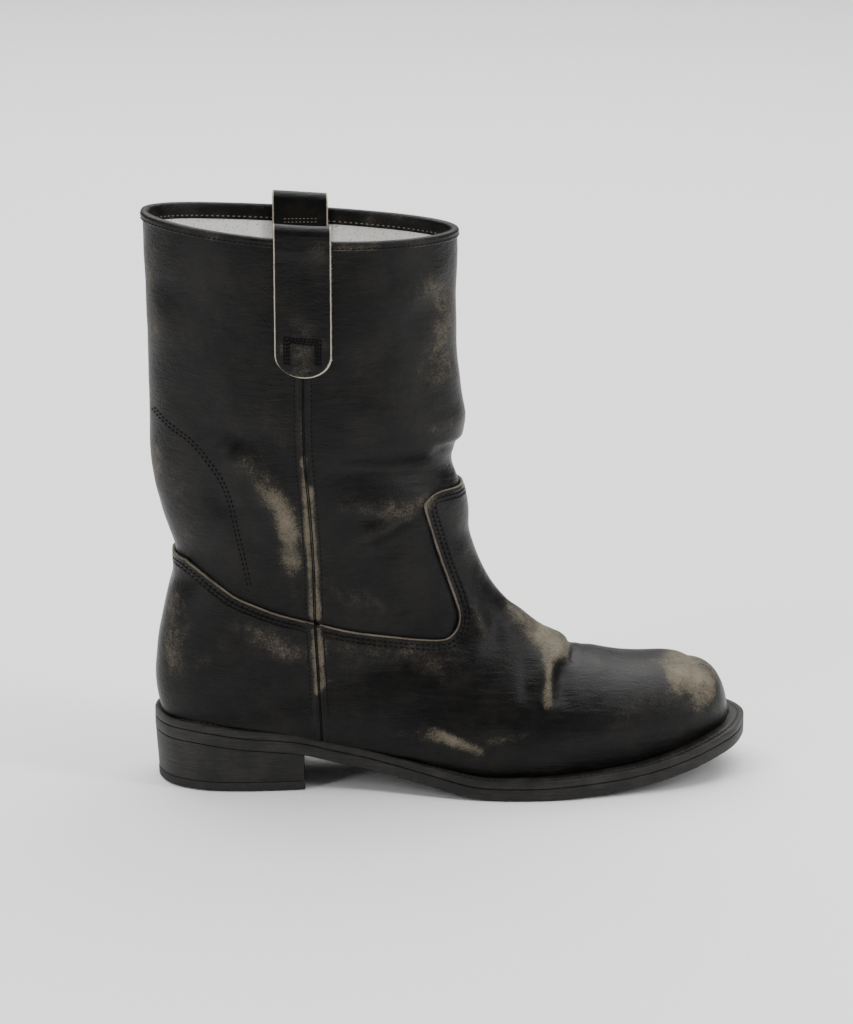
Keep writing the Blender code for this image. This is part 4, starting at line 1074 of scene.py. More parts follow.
def brushed_cowhide(name, rub_and_sheen_gain=1.0, gloss=0.30, raw="7d7465", raw_share=0.6, sewn=0.8):
    """Black hide whose dye is rubbed down to its pale core on the high places, and lightened where highlights are
    painted.
    """
    made, tree, shader = new_finish(name)
    pebble = pattern(tree, "ShaderNodeTexVoronoi", 0.9, stretch=(1.0, 1.0, 1.25))
    pebble.feature = "SMOOTH_F1"
    pebble.inputs["Smoothness"].default_value = 0.6
    fine = pattern(tree, "ShaderNodeTexNoise", 0.55, Detail=3.0, Roughness=0.6).outputs["Fac"]
    cloud = pattern(tree, "ShaderNodeTexNoise", 17.0, Detail=5.0, Roughness=0.66).outputs["Fac"]
    patch = pattern(tree, "ShaderNodeTexNoise", 4.0, Detail=5.0, Roughness=0.7).outputs["Fac"]
    wrinkle = pattern(tree, "ShaderNodeTexNoise", 5.5, stretch=(0.42, 1.0, 2.0), Detail=5.0,
                      Roughness=0.68, Distortion=0.5).outputs["Fac"]

    grain_high = ramp(tree, pebble.outputs["Distance"], 0.15, 0.75, ((1, 1, 1, 1), (0, 0, 0, 1)))
    # The layer holds wear and painted highlights
    rub_and_sheen = math_node(tree, "MULTIPLY", layer(tree, "rub_and_sheen"), rub_and_sheen_gain)
    broken = math_node(tree, "ADD", math_node(tree, "MULTIPLY", cloud, 0.58),
                       math_node(tree, "MULTIPLY", patch, 0.48))
    broken = math_node(tree, "ADD", broken, math_node(tree, "MULTIPLY", fine, 0.30))
    broken = math_node(tree, "ADD", broken, math_node(tree, "MULTIPLY", grain_high, 0.16))
    broken = math_node(tree, "SUBTRACT", math_node(tree, "MULTIPLY", broken, 1.25), 1.245)
    wear_and_sheen = math_node(tree, "ADD", rub_and_sheen, broken)
    brown = ramp(tree, wear_and_sheen, -0.35, 0.60)
    bare = ramp(tree, wear_and_sheen, 0.22, 1.05)
    dye = mix_color(tree, ramp(tree, cloud, 0.42, 0.66), BLACK_DYE, BROWN_BLACK)
    color = mix_color(tree, brown, dye, RUB_AND_SHEEN_BROWN)
    color = mix_color(tree, bare, color, BARE_CORE)
    edge = layer(tree, "edge")
    fray = math_node(tree, "MULTIPLY", fine, 0.6)
    cut = ramp(tree, math_node(tree, "SUBTRACT", edge, fray), 0.02, 0.34, ((1, 1, 1, 1), (0, 0, 0, 1)))
    color = mix_color(tree, math_node(tree, "MULTIPLY", cut, raw_share), color, linear(raw))
    tree.links.new(color, shader.inputs["Base Color"])

    rough = math_node(tree, "ADD", gloss, math_node(tree, "MULTIPLY", brown, 0.26))
    rough = math_node(tree, "ADD", rough, math_node(tree, "MULTIPLY", fine, 0.16), clamp=True)
    tree.links.new(rough, shader.inputs["Roughness"])
    shader.inputs["Specular IOR Level"].default_value = 0.17

    deep = add_node(tree, "ShaderNodeBump", Strength=0.55, Distance=0.0009, Height=wrinkle)
    coarse = add_node(tree, "ShaderNodeBump", {"invert": True}, Strength=0.50, Distance=0.00022,
                      Height=pebble.outputs["Distance"], Normal=deep.outputs["Normal"])
    fine_bump = add_node(tree, "ShaderNodeBump", Strength=0.45, Distance=0.00010, Height=fine,
                         Normal=coarse.outputs["Normal"])
    rows = math_node(tree, "ABSOLUTE", math_node(tree, "SUBTRACT", edge, 3.7))
    rows = math_node(tree, "ABSOLUTE", math_node(tree, "SUBTRACT", rows, 1.0))
    bump = add_node(tree, "ShaderNodeBump", Strength=sewn, Distance=0.0005,
                    Height=ramp(tree, rows, 0.0, 0.75), Normal=fine_bump.outputs["Normal"])
    tree.links.new(bump.outputs["Normal"], shader.inputs["Normal"])
    return made


def cut_edge(name, pale):
    """Raw edge of the hide: pale fibres, soiled with black wax."""
    made, tree, shader = new_finish(name)
    fibre = pattern(tree, "ShaderNodeTexNoise", 0.7, Detail=4.0, Roughness=0.7).outputs["Fac"]
    soil = pattern(tree, "ShaderNodeTexNoise", 16.0, Detail=3.0).outputs["Fac"]
    worn = ramp(tree, math_node(tree, "ADD", math_node(tree, "MULTIPLY", fibre, 0.6), soil), 0.62, 1.05)
    tree.links.new(mix_color(tree, worn, linear("2c2823"), linear(pale)), shader.inputs["Base Color"])
    shader.inputs["Roughness"].default_value = 0.8
    bump = add_node(tree, "ShaderNodeBump", Strength=0.7, Distance=0.0003, Height=fibre)
    tree.links.new(bump.outputs["Normal"], shader.inputs["Normal"])
    return made


CUT_EDGE, STRAP_EDGE = cut_edge("cut_edge", "8f8574"), cut_edge("strap_edge", "cfc6b6")
HIDE = brushed_cowhide("brushed_cowhide")
STRAP_HIDE = brushed_cowhide("strap_cowhide", rub_and_sheen_gain=0.9, gloss=0.27, raw="b9b0a0", raw_share=0.9,
                             sewn=0.0)
print("hide colours", [tuple(round(part, 3) for part in color[:3]) for color in (BLACK_DYE, BARE_CORE)])

# %% [markdown]
# ## The shaft, vamp and counter
#
# The shaft is two panels joined down the sides. The vamp and the counter lie on it and cover
# the foot, and their raw cut edges show the hide's pale core. A thickness modifier gives
# every skin a wall on its inner side, so the edges are real.


# %% Leather pieces
def add_wall(piece, thickness, edge=CUT_EDGE):
    """Thickness on the inner side of a skin, with the raw core showing on its edge."""
    piece.data.materials.append(edge)
    wall = piece.modifiers.new("wall", "SOLIDIFY")
    wall.material_offset_rim = 1
    wall.thickness = thickness
    wall.offset = -1.0
    wall.use_even_offset = False
    wall.use_rim = True
    return piece


form = upper_form()
layers = leather_layers(form)
shaft = add_wall(finish_piece("upper_hide", form, HIDE, ("upper",), layers), 1.1 * MM)
form = overlay_form(VAMP_OUTLINE)
layers = leather_layers(form, (VAMP_LINE,))
vamp = add_wall(finish_piece("vamp_hide", form, HIDE, ("vamp",), layers), OVERLAY_THICKNESS)
form = overlay_form(COUNTER_OUTLINE)
layers = leather_layers(form, (COUNTER_LINE,))
counter = add_wall(finish_piece("counter_hide", form, HIDE, ("counter",), layers),
                   OVERLAY_THICKNESS)

# %% [markdown]
# ## The sole
#
# Welt, outsole and heel share one edge that is trimmed and inked in one go, so their outline
# is one smooth curve. Each is a circle of the modeller's, moved onto that curve, extruded and
# bevelled a little, as an edge iron leaves it.

# %% Sole pieces
SOLE_EDGE = resample(sole_curve(), 2.2 * MM, closed=True)


def plate(curve, low, high, ease=0.7 * MM, places=72):
    """Solid plate between two height profiles, with its edges eased."""
    form = bmesh.new()
    made = bmesh.ops.create_circle(form, cap_ends=True, segments=len(curve), radius=1.0)["verts"]
    made = sorted(made, key=lambda vert: math.atan2(vert.co.y, vert.co.x))
    middle = curve.mean(0)
    around = sorted(curve.tolist(), key=lambda point: math.atan2(point[1] - middle[1], point[0] - middle[0]))
    for vert, (x, y) in zip(made, around):
        vert.co = (x, y, 0.0)
    raised = bmesh.ops.extrude_face_region(form, geom=form.faces[:])["geom"]
    tops = [item for item in raised if isinstance(item, bmesh.types.BMVert)]
    bmesh.ops.translate(form, verts=tops, vec=(0.0, 0.0, 0.01))
    rims = [edge for edge in form.edges if len(edge.link_faces) == 2
            and max(len(face.verts) for face in edge.link_faces) > 4]
    bmesh.ops.recalc_face_normals(form, faces=form.faces[:])
    thickness = float(high(0.1) - low(0.1))
    bmesh.ops.scale(form, verts=form.verts[:], vec=(1.0, 1.0, thickness / 0.01))
    bmesh.ops.bevel(form, geom=rims, offset=ease, offset_type="OFFSET", segments=3, profile=0.5,
                    affect="EDGES", material=-1)
    for place in np.linspace(curve[:, 0].min(), curve[:, 0].max(), places)[1:-1]:
        geometry = form.verts[:] + form.edges[:] + form.faces[:]
        bmesh.ops.bisect_plane(form, geom=geometry, plane_co=(place, 0.0, 0.0),
                               plane_no=(1.0, 0.0, 0.0), dist=1e-6)
    for vert in form.verts:
        share = vert.co.z / thickness
        bottom, top = float(low(vert.co.x)), float(high(vert.co.x))
        lift = share * (top - bottom) if share < 0.5 else (top - bottom) - (1.0 - share) * thickness
        if share < 0.5:
            lift = share * thickness
        vert.co.z = bottom + lift
    return form


def welt_top(x):
    """Height of the welt's upper face."""
    return seat_height(x) + WELT_THICKNESS


def outsole_top(x):
    """Height of the outsole's upper face."""
    return tread_height(x) + OUTSOLE_THICKNESS


print("sole edge", len(SOLE_EDGE), "points")


# %% Inked sole edge, rubber and insole leather
INK = linear("161514")
INK_WORN = linear("2e2c29")
RUBBER_BLACK = linear("131313")
VEG_TAN = linear("8a6d4d")
VEG_TAN_DARK = linear("5e4630")


def inked_edge():
    """Leather edge sanded along its length, inked black and burnished."""
    made, tree, shader = new_finish("inked_leather_edge")
    streak = pattern(tree, "ShaderNodeTexNoise", 0.8, stretch=(0.05, 0.05, 1.0), Detail=4.0,
                     Roughness=0.65).outputs["Fac"]
    cloud = pattern(tree, "ShaderNodeTexNoise", 9.0, Detail=4.0, Roughness=0.6).outputs["Fac"]
    pit = pattern(tree, "ShaderNodeTexNoise", 0.6, Detail=3.0, Roughness=0.7).outputs["Fac"]
    tone = math_node(tree, "MULTIPLY", streak, cloud)
    color = mix_color(tree, ramp(tree, tone, 0.20, 0.42), INK, INK_WORN)
    tree.links.new(color, shader.inputs["Base Color"])
    rough = math_node(tree, "ADD", 0.44, math_node(tree, "MULTIPLY", cloud, 0.22))
    tree.links.new(rough, shader.inputs["Roughness"])
    shader.inputs["Specular IOR Level"].default_value = 0.3
    lines = add_node(tree, "ShaderNodeBump", Strength=0.75, Distance=0.00035, Height=streak)
    bump = add_node(tree, "ShaderNodeBump", Strength=0.35, Distance=0.00012, Height=pit,
                    Normal=lines.outputs["Normal"])
    tree.links.new(bump.outputs["Normal"], shader.inputs["Normal"])
    return made


def moulded_rubber():
    """Black rubber with a fine moulded tooth and dust in it."""
    made, tree, shader = new_finish("moulded_rubber")
    tooth = pattern(tree, "ShaderNodeTexNoise", 0.5, Detail=2.0, Roughness=0.6).outputs["Fac"]
    dust = pattern(tree, "ShaderNodeTexNoise", 7.0, Detail=5.0, Roughness=0.7).outputs["Fac"]
    color = mix_color(tree, ramp(tree, dust, 0.50, 0.78), RUBBER_BLACK, linear("35332f"))
    tree.links.new(color, shader.inputs["Base Color"])
    tree.links.new(math_node(tree, "ADD", 0.62, math_node(tree, "MULTIPLY", dust, 0.25)),
                   shader.inputs["Roughness"])
    bump = add_node(tree, "ShaderNodeBump", Strength=0.5, Distance=0.00018, Height=tooth)
    tree.links.new(bump.outputs["Normal"], shader.inputs["Normal"])
    return made


def insole_tan():
    """Vegetable tanned insole leather, darkened where the foot has been."""
    made, tree, shader = new_finish("insole_leather")
    cloud = pattern(tree, "ShaderNodeTexNoise", 22.0, Detail=5.0, Roughness=0.6).outputs["Fac"]
    pore = pattern(tree, "ShaderNodeTexVoronoi", 0.7).outputs["Distance"]
    color = mix_color(tree, ramp(tree, cloud, 0.35, 0.70), VEG_TAN, VEG_TAN_DARK)
    tree.links.new(color, shader.inputs["Base Color"])
    tree.links.new(math_node(tree, "ADD", 0.52, math_node(tree, "MULTIPLY", cloud, 0.25)),
                   shader.inputs["Roughness"])
    bump = add_node(tree, "ShaderNodeBump", Strength=0.4, Distance=0.00015, Height=pore)
    tree.links.new(bump.outputs["Normal"], shader.inputs["Normal"])
    return made


EDGE_INK, RUBBER, INSOLE_TAN = inked_edge(), moulded_rubber(), insole_tan()


# %% Outsole, heel and insole
form = plate(SOLE_EDGE, tread_height, outsole_top)
finish_piece("outsole_plate", form, EDGE_INK, ("outsole",))


def heel_outline(shrink, breast):
    """Plan of the heel: the sole's edge behind the breast, drawn in by a shrink."""
    edge = inset(resample(sole_curve(), 0.8 * MM, closed=True), shrink)
    lateral, medial = edges_at(edge, breast)
    back = edge[edge[:, 0] < breast - 0.6 * MM]
    turned = back[np.argsort(np.arctan2(back[:, 1], -(back[:, 0] - breast)))]
    front = np.stack([np.full(14, breast), np.linspace(medial, lateral, 14)], 1)
    return resample(np.vstack([turned, front]), 1.6 * MM, closed=True)


BREAST = HEEL_LENGTH - HEEL_SETBACK
taper = 1.0 - HEEL_TAPER / (HEEL_WIDTH / 2.0)
form = plate(heel_outline(0.0, BREAST), lambda x: LIFT_THICKNESS + GAP + 0.0 * x,
             lambda x: tread_height(x) - GAP, ease=0.5 * MM, places=14)
for vert in form.verts:
    down = 1.0 - (vert.co.z - LIFT_THICKNESS) / HEEL_HEIGHT
    drawn = 1.0 + (taper - 1.0) * float(smooth_step(down))
    vert.co.y *= drawn
    if vert.co.x < 0.0:
        vert.co.x *= drawn
finish_piece("heel_stack", form, EDGE_INK, ("heel",))
form = plate(heel_outline(HEEL_TAPER, BREAST + LIFT_STEP), lambda x: 0.0 * x,
             lambda x: LIFT_THICKNESS + 0.0 * x, ease=0.6 * MM, places=10)
finish_piece("heel_rubber", form, RUBBER, ("heel_lift",))
INSOLE_EDGE = resample(feather_curve(UPPER_WALL + OVERLAY_THICKNESS + 4.0 * GAP), 2.4 * MM, closed=True)
insole_low = UPPER_WALL + 2.0 * GAP
form = plate(INSOLE_EDGE, lambda x: seat_height(x) + insole_low,
             lambda x: seat_height(x) + insole_low + INSOLE_THICKNESS)
finish_piece("insole_board", form, INSOLE_TAN, ("insole",))

# %% [markdown]
# ## Finding places on the leather
#
# Seams and straps lie on the leather, so their places are found by dropping a ray on a skin
# from the side. Stitch rows that follow a cut edge are traced on the skin itself: the skin is
# cut a little way inside the edge, and the new border is the row.

# %% Drop a ray, trace a row
def tree_of(points):
    """Search tree of a skin's quads."""
    rows, count = points.shape[:2]
    corner = np.arange(rows * count).reshape(rows, count)
    quads = np.stack([corner[:-1, :-1], corner[:-1, 1:], corner[1:, 1:], corner[1:, :-1]], -1)
    return BVHTree.FromPolygons(points.reshape(-1, 3).tolist(), quads.reshape(-1, 4).tolist())


UPPER_TREE, OVERLAY_TREE = tree_of(UPPER_SKIN), tree_of(OVERLAY_SKIN)


def land(tree, x, z, side, inside=False):
    """Place of a skin in side view, and the direction towards the eye there."""
    start, eye = (0.0, -side) if inside else (side * 0.2, side)
    place, way, _, _ = tree.ray_cast(Vector((x, start, z)), Vector((0.0, -eye, 0.0)))
    if place is None:
        return None
    if way.y * eye < 0.0:
        way = -way
    return np.array(place), np.array(way)


def land_line(tree, line, side, inside=False):
    """Places and directions of a skin along a side view line."""
    found = [land(tree, x, z, side, inside) for x, z in line]
    found = [item for item in found if item is not None]
    return np.array([place for place, way in found]), np.array([way for place, way in found])


def trace_rows(form, outline, level, line):
    """Paths on a skin that run a distance inside its outline, along one line of it."""
    cut_out(form, outline, level)
    form.normal_update()
    form.verts.index_update()
    near = np.abs(line_distance(side_view(form), line) - level) < 0.06 * MM
    links = {}
    for edge in form.edges:
        first, second = edge.verts
        if edge.is_boundary and near[first.index] and near[second.index]:
            links.setdefault(first, []).append(second)
            links.setdefault(second, []).append(first)
    paths, seen = [], set()
    for start in sorted(links, key=lambda vert: (len(links[vert]), vert.index)):
        if start in seen:
            continue
        chain = [start]
        seen.add(start)
        while True:
            onward = [vert for vert in links[chain[-1]] if vert not in seen]
            if not onward:
                break
            chain.append(onward[0])
            seen.add(onward[0])
        if len(chain) > 12:
            paths.append((np.array([tuple(vert.co) for vert in chain]),
                          np.array([tuple(vert.normal) for vert in chain])))
    form.free()
    return paths


def beside(line, distance):
    """Side view line moved sideways."""
    way = np.gradient(line, axis=0)
    way /= np.linalg.norm(way, axis=1)[:, None]
    return line + np.stack([-way[:, 1], way[:, 0]], 1) * distance


# %% Sew
def sew(form, path, ways, pitch, length=0.7, width=0.62, height=0.42):
    """Row of stitches: short rounded threads lying on the leather. Length is a share of pitch."""
    places = resample(np.hstack([path, ways * MM]), pitch * MM)
    runs = np.gradient(places[:, :3], axis=0)
    row = bmesh.new()
    for place, run in zip(places[1:-1], runs[1:-1]):
        point, normal = Vector(place[:3]), Vector(place[3:]).normalized()
        run = Vector(run)
        run = (run - normal * run.dot(normal)).normalized()
        turn = Matrix((run, normal.cross(run), normal)).transposed().to_4x4()
        size = Matrix.Diagonal((length * pitch * MM / 2.0, width * MM / 2.0, height * MM / 2.0, 1.0))
        bmesh.ops.create_uvsphere(row, u_segments=6, v_segments=4, radius=1.0,
                                  matrix=Matrix.Translation(point) @ turn @ size)
    join(form, row)


def join(form, added):
    """Put one mesh into another."""
    mesh = bpy.data.meshes.new("joined")
    added.to_mesh(mesh)
    added.free()
    form.from_mesh(mesh)
    bpy.data.meshes.remove(mesh)


# %% [markdown]
# ## Side seams
#
# Down each side the two panels meet in a closed seam. It is pressed open and top stitched, so
# two soft ridges stand beside a dark groove, with a row of stitches outside each. The same
# join goes on between the vamp and the counter, down to the sole.

# %% Side seam strips
# Profile across the seam in millimetres: way across and height above the leather
SEAM_PROFILE = ((-5.6, -0.20), (-4.9, -0.04), (-4.2, 0.10), (-3.4, 0.22), (-2.6, 0.52), (-2.0, 0.82),
                (-1.4, 0.90), (-0.8, 0.72), (-0.42, 0.26), (-0.15, -0.05), (0.15, -0.05), (0.42, 0.26),
                (0.8, 0.70), (1.4, 0.90), (2.0, 0.84), (2.6, 0.56), (3.3, 0.22), (3.9, 0.08),
                (4.5, -0.04), (5.1, -0.20))
STRAP_MIDDLE = along(SIDE_SEAM[0].along)
RIM, RIM_OUT = CLOSED_FORM[0] + CLOSED_OUT[0] * SHIFT[0][:, None], CLOSED_OUT[0]


def rim_height(x, side):
    """Height of the leather's top edge at x."""
    row = RIM[:SIDE_POINTS // 2] if side == LATERAL else RIM[SIDE_POINTS // 2:SIDE_POINTS][::-1]
    return float(np.interp(x, row[:, 0], row[:, 2]))


STRAP_BOTTOM = rim_height(STRAP_MIDDLE, LATERAL) + 2.0 * GAP + 0.9 * MM - STRAP_LEG
JOIN_LINE = np.vstack([COUNTER_LINE[:14][::-1], VAMP_LINE[1:14]])


def seam_strip(name, tree, side, top, low, nodes, joined=False):
    """Strip of leather with the seam's cross section, laid along it."""
    levels = np.arange(top, low, -1.1 * MM)
    centre = np.interp(-levels, -SEAM_LINE[:, 1], SEAM_LINE[:, 0])
    rows = []
    for x, level in zip(centre, levels):
        row = []
        for across, up in SEAM_PROFILE:
            z = level
            if joined:
                drop = np.interp(x + across * MM, JOIN_LINE[:, 0], JOIN_LINE[:, 1]) - SEAM_TOP
                z += drop * math.exp(-((top - level) / (4.0 * MM)) ** 2)
            place, way = land(tree, x + across * MM, z, side)
            wobble = 0.14 * noise.noise(Vector((across * 0.6, z * 380.0, side * 3.0)))
            row.append(place + way * (up + wobble * (0.2 < up)) * MM)
        rows.append(row)
    form = face_out(lay_grid(np.array(rows), name))
    layers = leather_layers(form)
    points = np.array([tuple(vert.co) for vert in form.verts])
    off = np.abs(points[:, 0] - np.interp(-points[:, 2], -SEAM_LINE[:, 1], SEAM_LINE[:, 0])) / MM
    layers["rub_and_sheen"] = np.where(off < 0.45, 0.0, layers["rub_and_sheen"] * np.where(off > 3.4, 0.6, 1.0))
    return finish_piece(name, form, HIDE, nodes, layers)


for side, word in ((LATERAL, "lateral"), (MEDIAL, "medial")):
    seam_strip("side_seam_" + word, UPPER_TREE, side, STRAP_BOTTOM + 6.0 * MM, SEAM_TOP - 2.5 * MM,
               ("side_seam_" + word,))
    seam_strip("foot_seam_" + word, OVERLAY_TREE, side, SEAM_TOP - 0.2 * MM,
               float(seat_height(SEAM_LOW[-1, 0])) + 4.0 * MM, (), joined=True)

# %% [markdown]
# ## Collar, lining and straps
#
# The rim is bound: a strip of leather is folded over it, stitched below the outside edge and
# again through the facing inside. Under the facing shows the pale woven lining. The straps to
# pull at are one piece each, folded over the rim and sewn down with a box of stitches; they
# are cut from thick hide and their edges are left raw.

# %% Collar binding
RIM_UP = CLOSED_FORM[0] - CLOSED_FORM[6]
RIM_UP = RIM_UP / np.linalg.norm(RIM_UP, axis=1)[:, None]
# Way out and way up from the rim, in millimetres
BINDING_PROFILE = ((-0.10, -3.30), (0.62, -3.22), (0.86, -2.80), (0.80, -2.20), (0.92, -1.40), (1.02, -0.60),
                   (0.92, 0.10), (0.55, 0.68), (0.00, 1.00), (-0.70, 1.14), (-1.50, 1.12), (-2.25, 0.92),
                   (-2.85, 0.45), (-3.15, -0.20), (-3.22, -1.50), (-3.20, -3.40), (-3.26, -5.60),
                   (-3.22, -6.50), (-2.95, -6.90), (-1.90, -6.95))


def rim_path(out, up):
    """Closed path round the rim, a way out from it and above it, in millimetres."""
    return RIM + RIM_OUT * out * MM + RIM_UP * up * MM


form = lay_grid(np.array([rim_path(out, up) for out, up in BINDING_PROFILE]), "binding")
bmesh.ops.remove_doubles(form, verts=form.verts[:], dist=0.00002)
face_out(form)
layers = leather_layers(form)
points = np.array([tuple(vert.co) for vert in form.verts])
ripple = np.array([noise.noise(Vector(point) / 0.009) for point in points])
layers["rub_and_sheen"] = np.clip(0.34 + 0.30 * ripple + 0.3 * layers["rub_and_sheen"], 0.0, 1.0)
finish_piece("collar_binding", form, HIDE, ("collar_binding",), layers)


# %% Woven lining
def woven_lining():
    """Off white cotton drill with grey flecks of nap."""
    made, tree, shader = new_finish("cotton_lining")
    fleck = pattern(tree, "ShaderNodeTexNoise", 1.1, Detail=3.0, Roughness=0.7).outputs["Fac"]
    weave = pattern(tree, "ShaderNodeTexNoise", 0.6, stretch=(1.0, 1.0, 0.35), Detail=1.0).outputs["Fac"]
    color = mix_color(tree, ramp(tree, fleck, 0.56, 0.70), linear("fbfaf8"), linear("a3a2a0"))
    tree.links.new(color, shader.inputs["Base Color"])
    shader.inputs["Roughness"].default_value = 0.92
    shader.inputs["Sheen Weight"].default_value = 0.25
    bump = add_node(tree, "ShaderNodeBump", Strength=0.6, Distance=0.0002, Height=weave)
    tree.links.new(bump.outputs["Normal"], shader.inputs["Normal"])
    return made


THINNED = 2
form = without_underside(lay_grid(skin(-1.5 * MM)[::THINNED, ::THINNED], "lining"), THINNED)
lining = finish_piece("cotton_lining", form, woven_lining())
wall = lining.modifiers.new("wall", "SOLIDIFY")
wall.thickness = 0.8 * MM
wall.offset = -1.0


# %% Pull straps
def strap_station(x, side):
    """Outer face of the strap at x, from its outside end over the arch to its inside end."""
    rim = rim_height(x, side) + 2.0 * GAP + 0.9 * MM
    share = min(1.0, abs(x - STRAP_MIDDLE) / (STRAP_WIDTH / 2.0))
    end = rim - STRAP_LEG + STRAP_END * (1.0 - math.sqrt(1.0 - share ** 2))
    levels = np.linspace(end, rim, 34)
    wall = np.array([land(UPPER_TREE, x, min(z, rim - 2.0 * MM), side)[0][1] for z in levels])
    below = np.maximum(rim - levels, 0.0)
    near = 3.0 * GAP + 0.9 * MM * smooth_step(2.0 - below / (5.2 * MM))
    inner = 3.0 * GAP + 0.9 * MM * smooth_step(2.0 - below / (9.0 * MM))
    outside = wall + side * (near + STRAP_THICKNESS)
    inside = wall - side * (UPPER_WALL + inner + STRAP_THICKNESS)
    radius = abs(outside[-1] - inside[-1]) / 2.0
    middle = (outside[-1] + inside[-1]) / 2.0
    top = rim + STRAP_ARCH - radius + STRAP_THICKNESS
    turns = np.linspace(0.0, math.pi, 25)
    arch = np.stack([middle + side * radius * np.cos(turns), top + radius * np.sin(turns)], 1)
    path = np.vstack([np.stack([outside, levels], 1), arch, np.stack([inside, levels], 1)[::-1]])
    return np.column_stack([np.full(len(path), x), path])


def strap_layers(form, side):
    """Rub and edge distance of a strap, in its own width and length."""
    points = np.array([tuple(vert.co) for vert in form.verts])
    across = (points[:, 0] - STRAP_MIDDLE) / MM
    rise = (points[:, 2] - STRAP_BOTTOM) / MM
    half, round_end = STRAP_WIDTH / 2.0 / MM, STRAP_END / MM
    round_in = 1.0 - np.hypot(across / half, np.clip(round_end - rise, 0.0, None) / round_end)
    edge = np.where(rise < round_end, np.clip(round_in, 0.0, None) * 11.5, half - np.abs(across))
    spots = ((0.0, 11.0, 8.5, 0.60), (0.0, 4.0, 8.5, 0.66), (-10.0, 15.0, 5.0, 0.66), (9.0, 63.0, 7.0, 0.52),
             (-6.0, 66.0, 5.0, 0.25), (0.0, 23.0, 9.0, 0.48), (10.5, 16.0, 5.0, 0.58), (0.0, 17.0, 9.5, 0.50))
    rub_and_sheen = np.zeros(len(points))
    for at, up, reach, strength in spots:
        rub_and_sheen = np.maximum(rub_and_sheen, strength * np.exp(-((across - at) ** 2 + (rise - up) ** 2) / reach ** 2))
    rub_and_sheen = np.maximum(rub_and_sheen, 0.45 * np.exp(-(edge / 1.2) ** 2))
    return {"rub_and_sheen": rub_and_sheen, "edge": edge}


STRAP_TREES = {}
STRAP_STATIONS = STRAP_MIDDLE + STRAP_WIDTH / 2.0 * np.sin(np.linspace(-0.5, 0.5, 25) * math.pi)
for side, word in ((LATERAL, "lateral"), (MEDIAL, "medial")):
    rows = np.array([strap_station(x, side) for x in STRAP_STATIONS])
    STRAP_TREES[side] = tree_of(rows)
    form = face_out(lay_grid(rows, "strap"))
    bmesh.ops.remove_doubles(form, verts=form.verts[:], dist=0.00002)
    layers = strap_layers(form, side)
    add_wall(finish_piece("pull_strap_" + word, form, STRAP_HIDE,
                          ("pull_strap_" + word,), layers), STRAP_THICKNESS, STRAP_EDGE)

# %% [markdown]
# ## Welt
#
# The welt is a strip sewn round the edge of the upper. Its outer edge is trimmed with the
# sole, and its stitches lie in a shallow groove.

# %% Welt ring
WELT_STITCHES = 3.1


def welt_ring():
    """Rounded strip between the upper and the sole's edge."""
    edge = resample(sole_curve(), 1.6 * MM, closed=True)
    share = (edge[:, 0] + HEEL_SETBACK) / SOLE_LENGTH
    margin = HEEL_MARGIN + (BALL_MARGIN - HEEL_MARGIN) * smooth_step((share - 0.2) / 0.3)
    # Way in from the edge and way up from its lower face, in millimetres
    profile = ((0.6, 0.0), (0.1, 0.25), (0.0, 0.7), (0.05, 3.2), (0.25, 3.75), (0.8, 4.0), (2.3, 4.0),
               (2.8, 3.7), (3.4, 3.7), (3.9, 4.0), (5.2, 3.95))
    rows = []
    for way_in, up in profile:
        place = inset(edge, way_in * MM)
        rows.append(np.column_stack([place, outsole_top(edge[:, 0]) + (up + 0.12) * MM]))
    inner = inset(edge, margin + 2.2 * MM)
    rows.append(np.column_stack([inner, outsole_top(edge[:, 0]) + 3.9 * MM]))
    rows = np.array(rows)
    form = lay_grid(np.concatenate([rows, rows[:, :1]], 1), "welt")
    bmesh.ops.remove_doubles(form, verts=form.verts[:], dist=0.00002)
    return face_out(form), edge


form, welt_edge = welt_ring()
finish_piece("welt_strip", form, EDGE_INK, ("welt",))

# %% [markdown]
# ## Thread
#
# The panels are sewn with black bonded thread in two close rows, the facing and the welt with
# a paler one. A stitch is a small rounded form, repeated along its row.


# %% Thread materials and rows
def waxed_thread(name, code):
    """Twisted waxed thread."""
    made, tree, shader = new_finish(name)
    twist = pattern(tree, "ShaderNodeTexNoise", 0.35, Detail=2.0).outputs["Fac"]
    color = mix_color(tree, twist, linear(code), linear("060606"), "MIX")
    tree.links.new(color, shader.inputs["Base Color"])
    shader.inputs["Roughness"].default_value = 0.75
    shader.inputs["Specular IOR Level"].default_value = 0.12
    bump = add_node(tree, "ShaderNodeBump", Strength=0.6, Distance=0.0001, Height=twist)
    tree.links.new(bump.outputs["Normal"], shader.inputs["Normal"])
    return made


